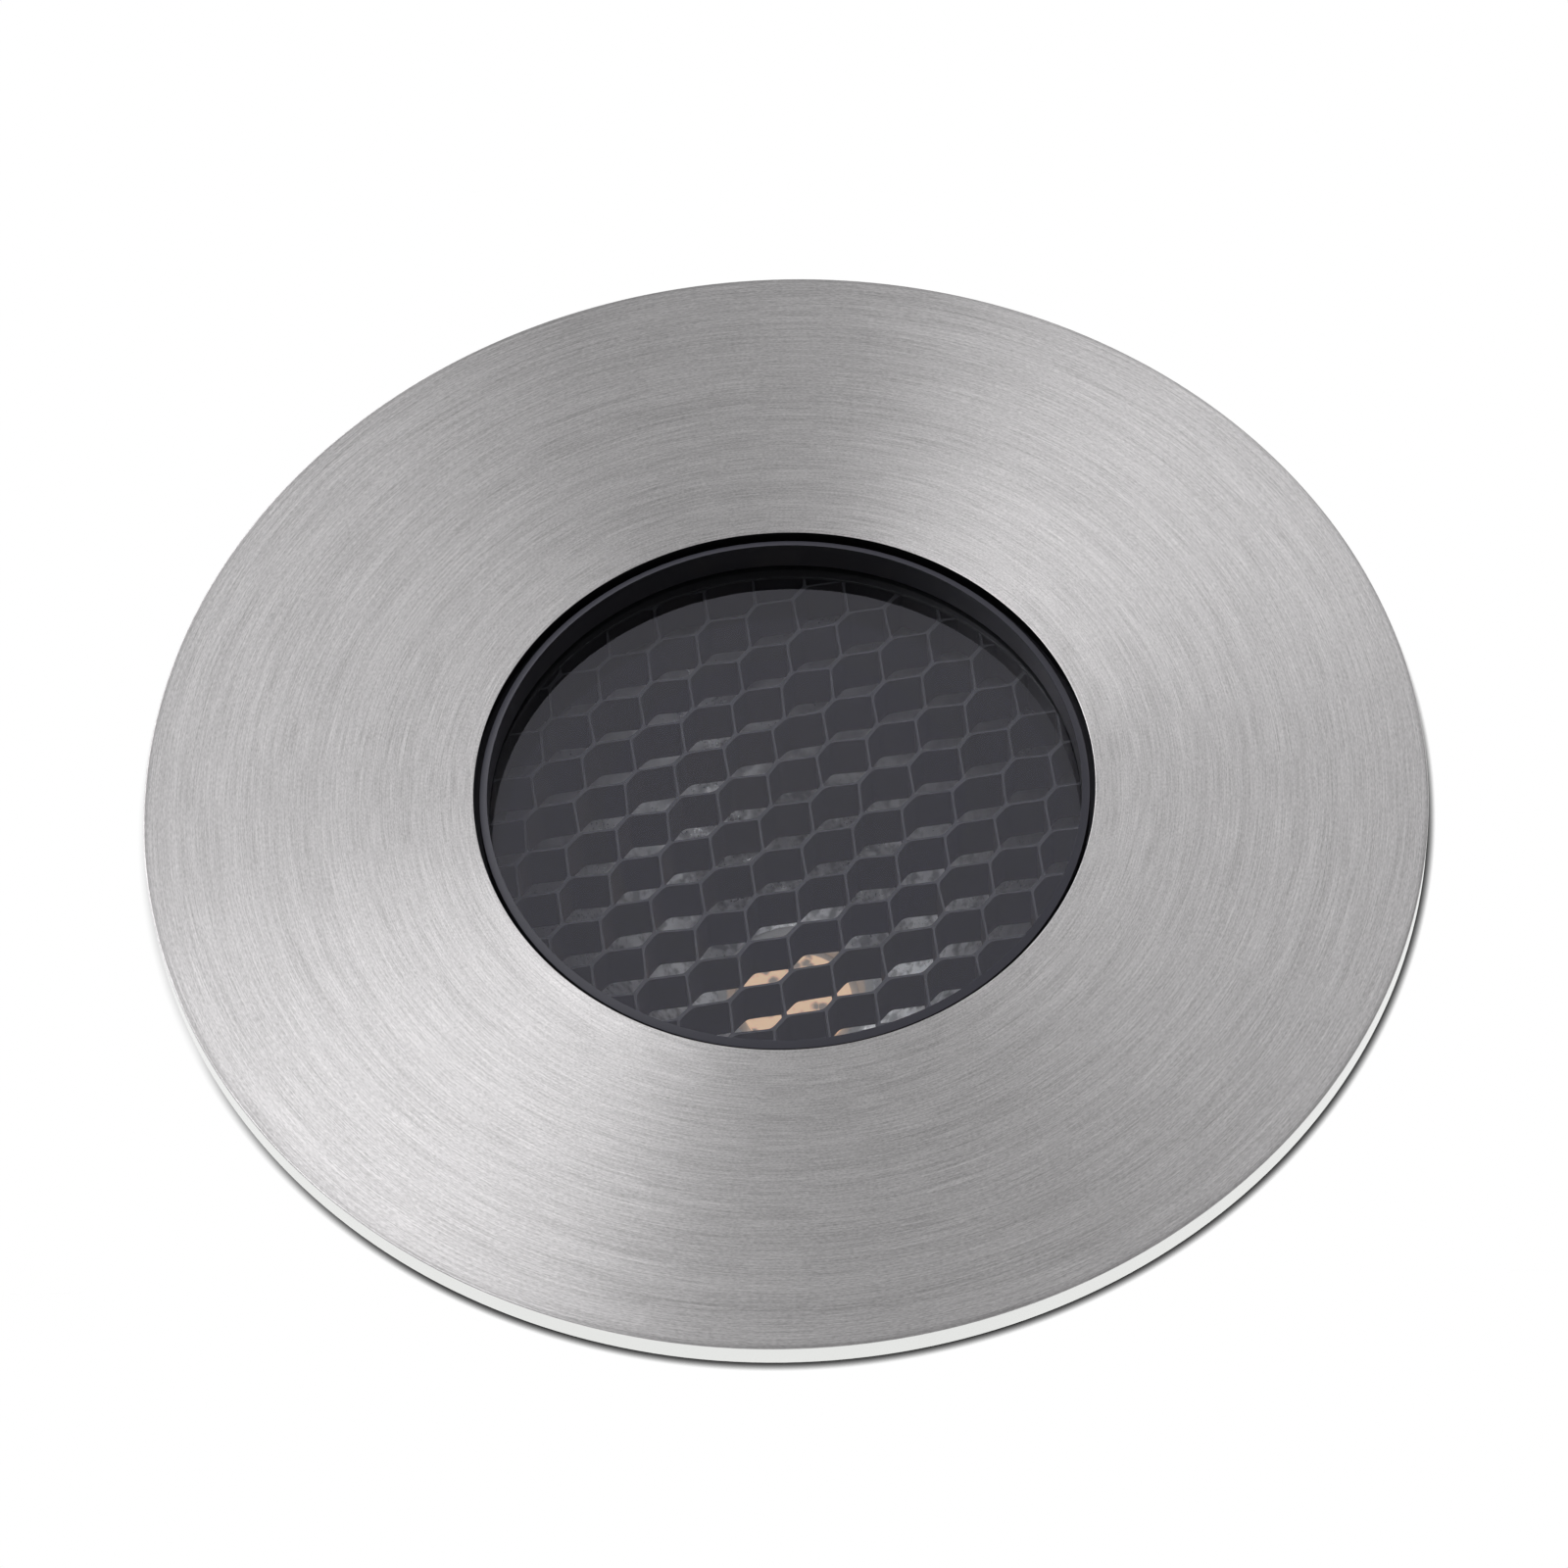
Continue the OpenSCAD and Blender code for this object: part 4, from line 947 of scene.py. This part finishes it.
class SPOTLIGHT_OT_leads(bpy.types.Operator):
    """Sweeps the two leads from the light source's holder down to the driver's board"""
    bl_idname = "spotlight.leads"
    bl_label = "Leads"

    def execute(self, context):
        low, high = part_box("led_leads")
        exit_y, end_y = low.y / MM, high.y / MM - LEAD_R
        exit_z, end_z = high.z / MM - LEAD_R, low.z / MM
        bend = 2.0
        path = [(exit_y + (end_y - bend - exit_y) * k / 3, exit_z) for k in range(3)]
        path += [(end_y - bend + bend * math.sin(a), exit_z - bend + bend * math.cos(a))
                 for a in (math.radians(9 * k) for k in range(11))]
        path += [(end_y, exit_z - bend + (end_z - exit_z + bend) * k / 6) for k in range(1, 7)]
        for side, shade, tone in ((-1, "red", "#8c2f2a"), (1, "black", "#202124")):
            # Silicone rubber insulation, extruded: soft, dull and slightly waxy
            silicone = surface(shade + " silicone insulation", linear(tone), 0.0, 0.5, 0.4, 0.004)
            stands_for(swept(shade + "_lead", [(side * LEAD_X, y, z) for y, z in path], LEAD_R, silicone, 14),
                       "lead_insulation", "led_leads")
        return {"FINISHED"}


class SPOTLIGHT_OT_seals(bpy.types.Operator):
    """Finishes the gaskets, the seal, the grommet and the rubber shoes of the clips"""
    bl_idname = "spotlight.seals"
    bl_label = "Seals"

    def execute(self, context):
        # EPDM rubber, moulded: deep matt black with a dusty bloom
        rgb = context.scene.spotlight_colours.rubber
        rubber = surface("moulded EPDM rubber", rgb, 0.0, 0.72, 0.18, 0.012, 0.15)
        for cad_node, width in (
                ("bezel_gasket", 0.12), ("glass_gasket", 0.08), ("cover_seal", 0.02), ("lead_grommet", 0.12),
                ("gland_washer", 0.12), ("gland_insert", 0.2), ("clip_tip_right", 0.3), ("clip_tip_left", 0.3)):
            rounded(cad_node, "black_rubber", rubber, width, 3)
        return {"FINISHED"}


class SPOTLIGHT_OT_gland(bpy.types.Operator):
    """Finishes the cable gland's body and dome nut"""
    bl_idname = "spotlight.gland"
    bl_label = "Cable gland"

    def execute(self, context):
        # Polyamide, moulded: black, with a low even sheen from the mould's spark-eroded face
        moulded = surface("black moulded polyamide", linear("#1c1d1f"), 0.0, 0.42, 0.22, 0.01, 0.08)
        rounded("gland_body", "gland_plastic", moulded, 0.25)
        rounded("gland_nut", "gland_plastic", moulded, 0.35, 3)
        return {"FINISHED"}


class SPOTLIGHT_OT_fasteners(bpy.types.Operator):
    """Finishes the studs, nuts, washers and screws"""
    bl_idname = "spotlight.fasteners"
    bl_label = "Fasteners"

    def execute(self, context):
        # Cold-headed stainless steel: bright, with faint drawing marks
        steel = surface("cold-headed stainless steel", linear("#c4c2bf"), 1.0, 0.3, 0.15, 0.002)
        for cad_node, width in (
                ("bezel_studs", 0.05), ("bezel_nuts", 0.18), ("bezel_washers", 0.08), ("led_holder_screws", 0.12),
                ("heat_sink_screws", 0.12), ("board_screws", 0.12), ("terminal_screws", 0.08),
                ("cover_screws", 0.15), ("bracket_screws", 0.12)):
            rounded(cad_node, "plain_steel", steel, width)
        return {"FINISHED"}


class SPOTLIGHT_OT_clips(bpy.types.Operator):
    """Finishes the clips' brackets, pins and arms"""
    bl_idname = "spotlight.clips"
    bl_label = "Clips"

    def execute(self, context):
        # Stainless sheet, cut and folded: cold-rolled satin with a soft edge from the press
        sheet = surface("cold-rolled stainless sheet", linear("#a5a3a0"), 1.0, 0.42, 0.3, 0.003, 0.05, 5)
        for side in ("right", "left"):
            rounded("clip_bracket_" + side, "clip_steel", sheet, 0.22)
            rounded("clip_arm_" + side, "clip_steel", sheet, 0.22)
            rounded("clip_pin_" + side, "clip_steel", sheet, 0.15)
        return {"FINISHED"}


class SPOTLIGHT_OT_clip_springs(bpy.types.Operator):
    """Winds the clips' springs, which twist as the arms turn"""
    bl_idname = "spotlight.clip_springs"
    bl_label = "Clip springs"

    def execute(self, context):
        # Music wire, drawn and zinc plated: smooth, with a dull grey shine
        wire = surface("zinc plated music wire", linear("#9a9c9f"), 1.0, 0.28, 0.2, 0.002)
        half = SPRING_PITCH * (SPRING_TURNS + 0.25) / 2
        sweep = 90 + 360 * SPRING_TURNS
        steps = 30 * SPRING_TURNS
        path = [(-COIL_R, -half, z) for z in (-6, -4.5, -3, -2, -1, -0.4)]
        for i in range(steps + 1):
            a = math.radians(180 - sweep * i / steps)
            path.append((COIL_R * math.cos(a), -half + 2 * half * i / steps, COIL_R * math.sin(a)))
        path += [(x, half, COIL_R) for x in (0.4, 1, 2, 3.5, 5, 6.5, 8)]
        for side, sign in (("right", 1), ("left", -1)):
            placed_path = [(sign * (PIVOT_X + x), sign * y, PIVOT_Z + z) for x, y, z in path]
            spring = swept("spring_wire_" + side, placed_path, WIRE_R, wire, 12)
            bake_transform(spring, "housing", "clip_" + side,
                     start=(sign * PIVOT_X * MM, -sign * half * MM, PIVOT_Z * MM),
                     end=(sign * PIVOT_X * MM, sign * half * MM, PIVOT_Z * MM))
            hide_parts("clip_spring_" + side)
        return {"FINISHED"}


PIECES = (
    SPOTLIGHT_OT_stage, SPOTLIGHT_OT_bezel, SPOTLIGHT_OT_collar, SPOTLIGHT_OT_glass, SPOTLIGHT_OT_louver,
    SPOTLIGHT_OT_reflector, SPOTLIGHT_OT_light_source, SPOTLIGHT_OT_housing, SPOTLIGHT_OT_driver,
    SPOTLIGHT_OT_leads, SPOTLIGHT_OT_seals, SPOTLIGHT_OT_gland, SPOTLIGHT_OT_fasteners, SPOTLIGHT_OT_clips,
    SPOTLIGHT_OT_clip_springs,
)


class SPOTLIGHT_PT_pieces(bpy.types.Panel):
    """Lists the sizes, the colours and the pieces"""
    bl_idname = "SPOTLIGHT_PT_pieces"
    bl_label = "Recessed spotlight"
    bl_space_type = "VIEW_3D"
    bl_region_type = "UI"
    bl_category = "Spotlight"

    def draw(self, context):
        column = self.layout.column()
        for group in (context.scene.spotlight_sizes, context.scene.spotlight_colours):
            for name in group.__annotations__:
                column.prop(group, name)
        for piece in PIECES:
            column.operator(piece.bl_idname)


CLASSES = (SpotlightSizes, SpotlightColours) + PIECES + (SPOTLIGHT_PT_pieces,)


def register():
    for one in CLASSES:
        bpy.utils.register_class(one)
    bpy.types.Scene.spotlight_sizes = PointerProperty(type=SpotlightSizes)
    bpy.types.Scene.spotlight_colours = PointerProperty(type=SpotlightColours)


def unregister():
    del bpy.types.Scene.spotlight_colours
    del bpy.types.Scene.spotlight_sizes
    for one in reversed(CLASSES):
        bpy.utils.unregister_class(one)


def main():
    register()
    for piece in PIECES:
        name = piece.bl_idname.split(".")[1]
        getattr(bpy.ops.spotlight, name)()


if __name__ == "__main__":
    main()
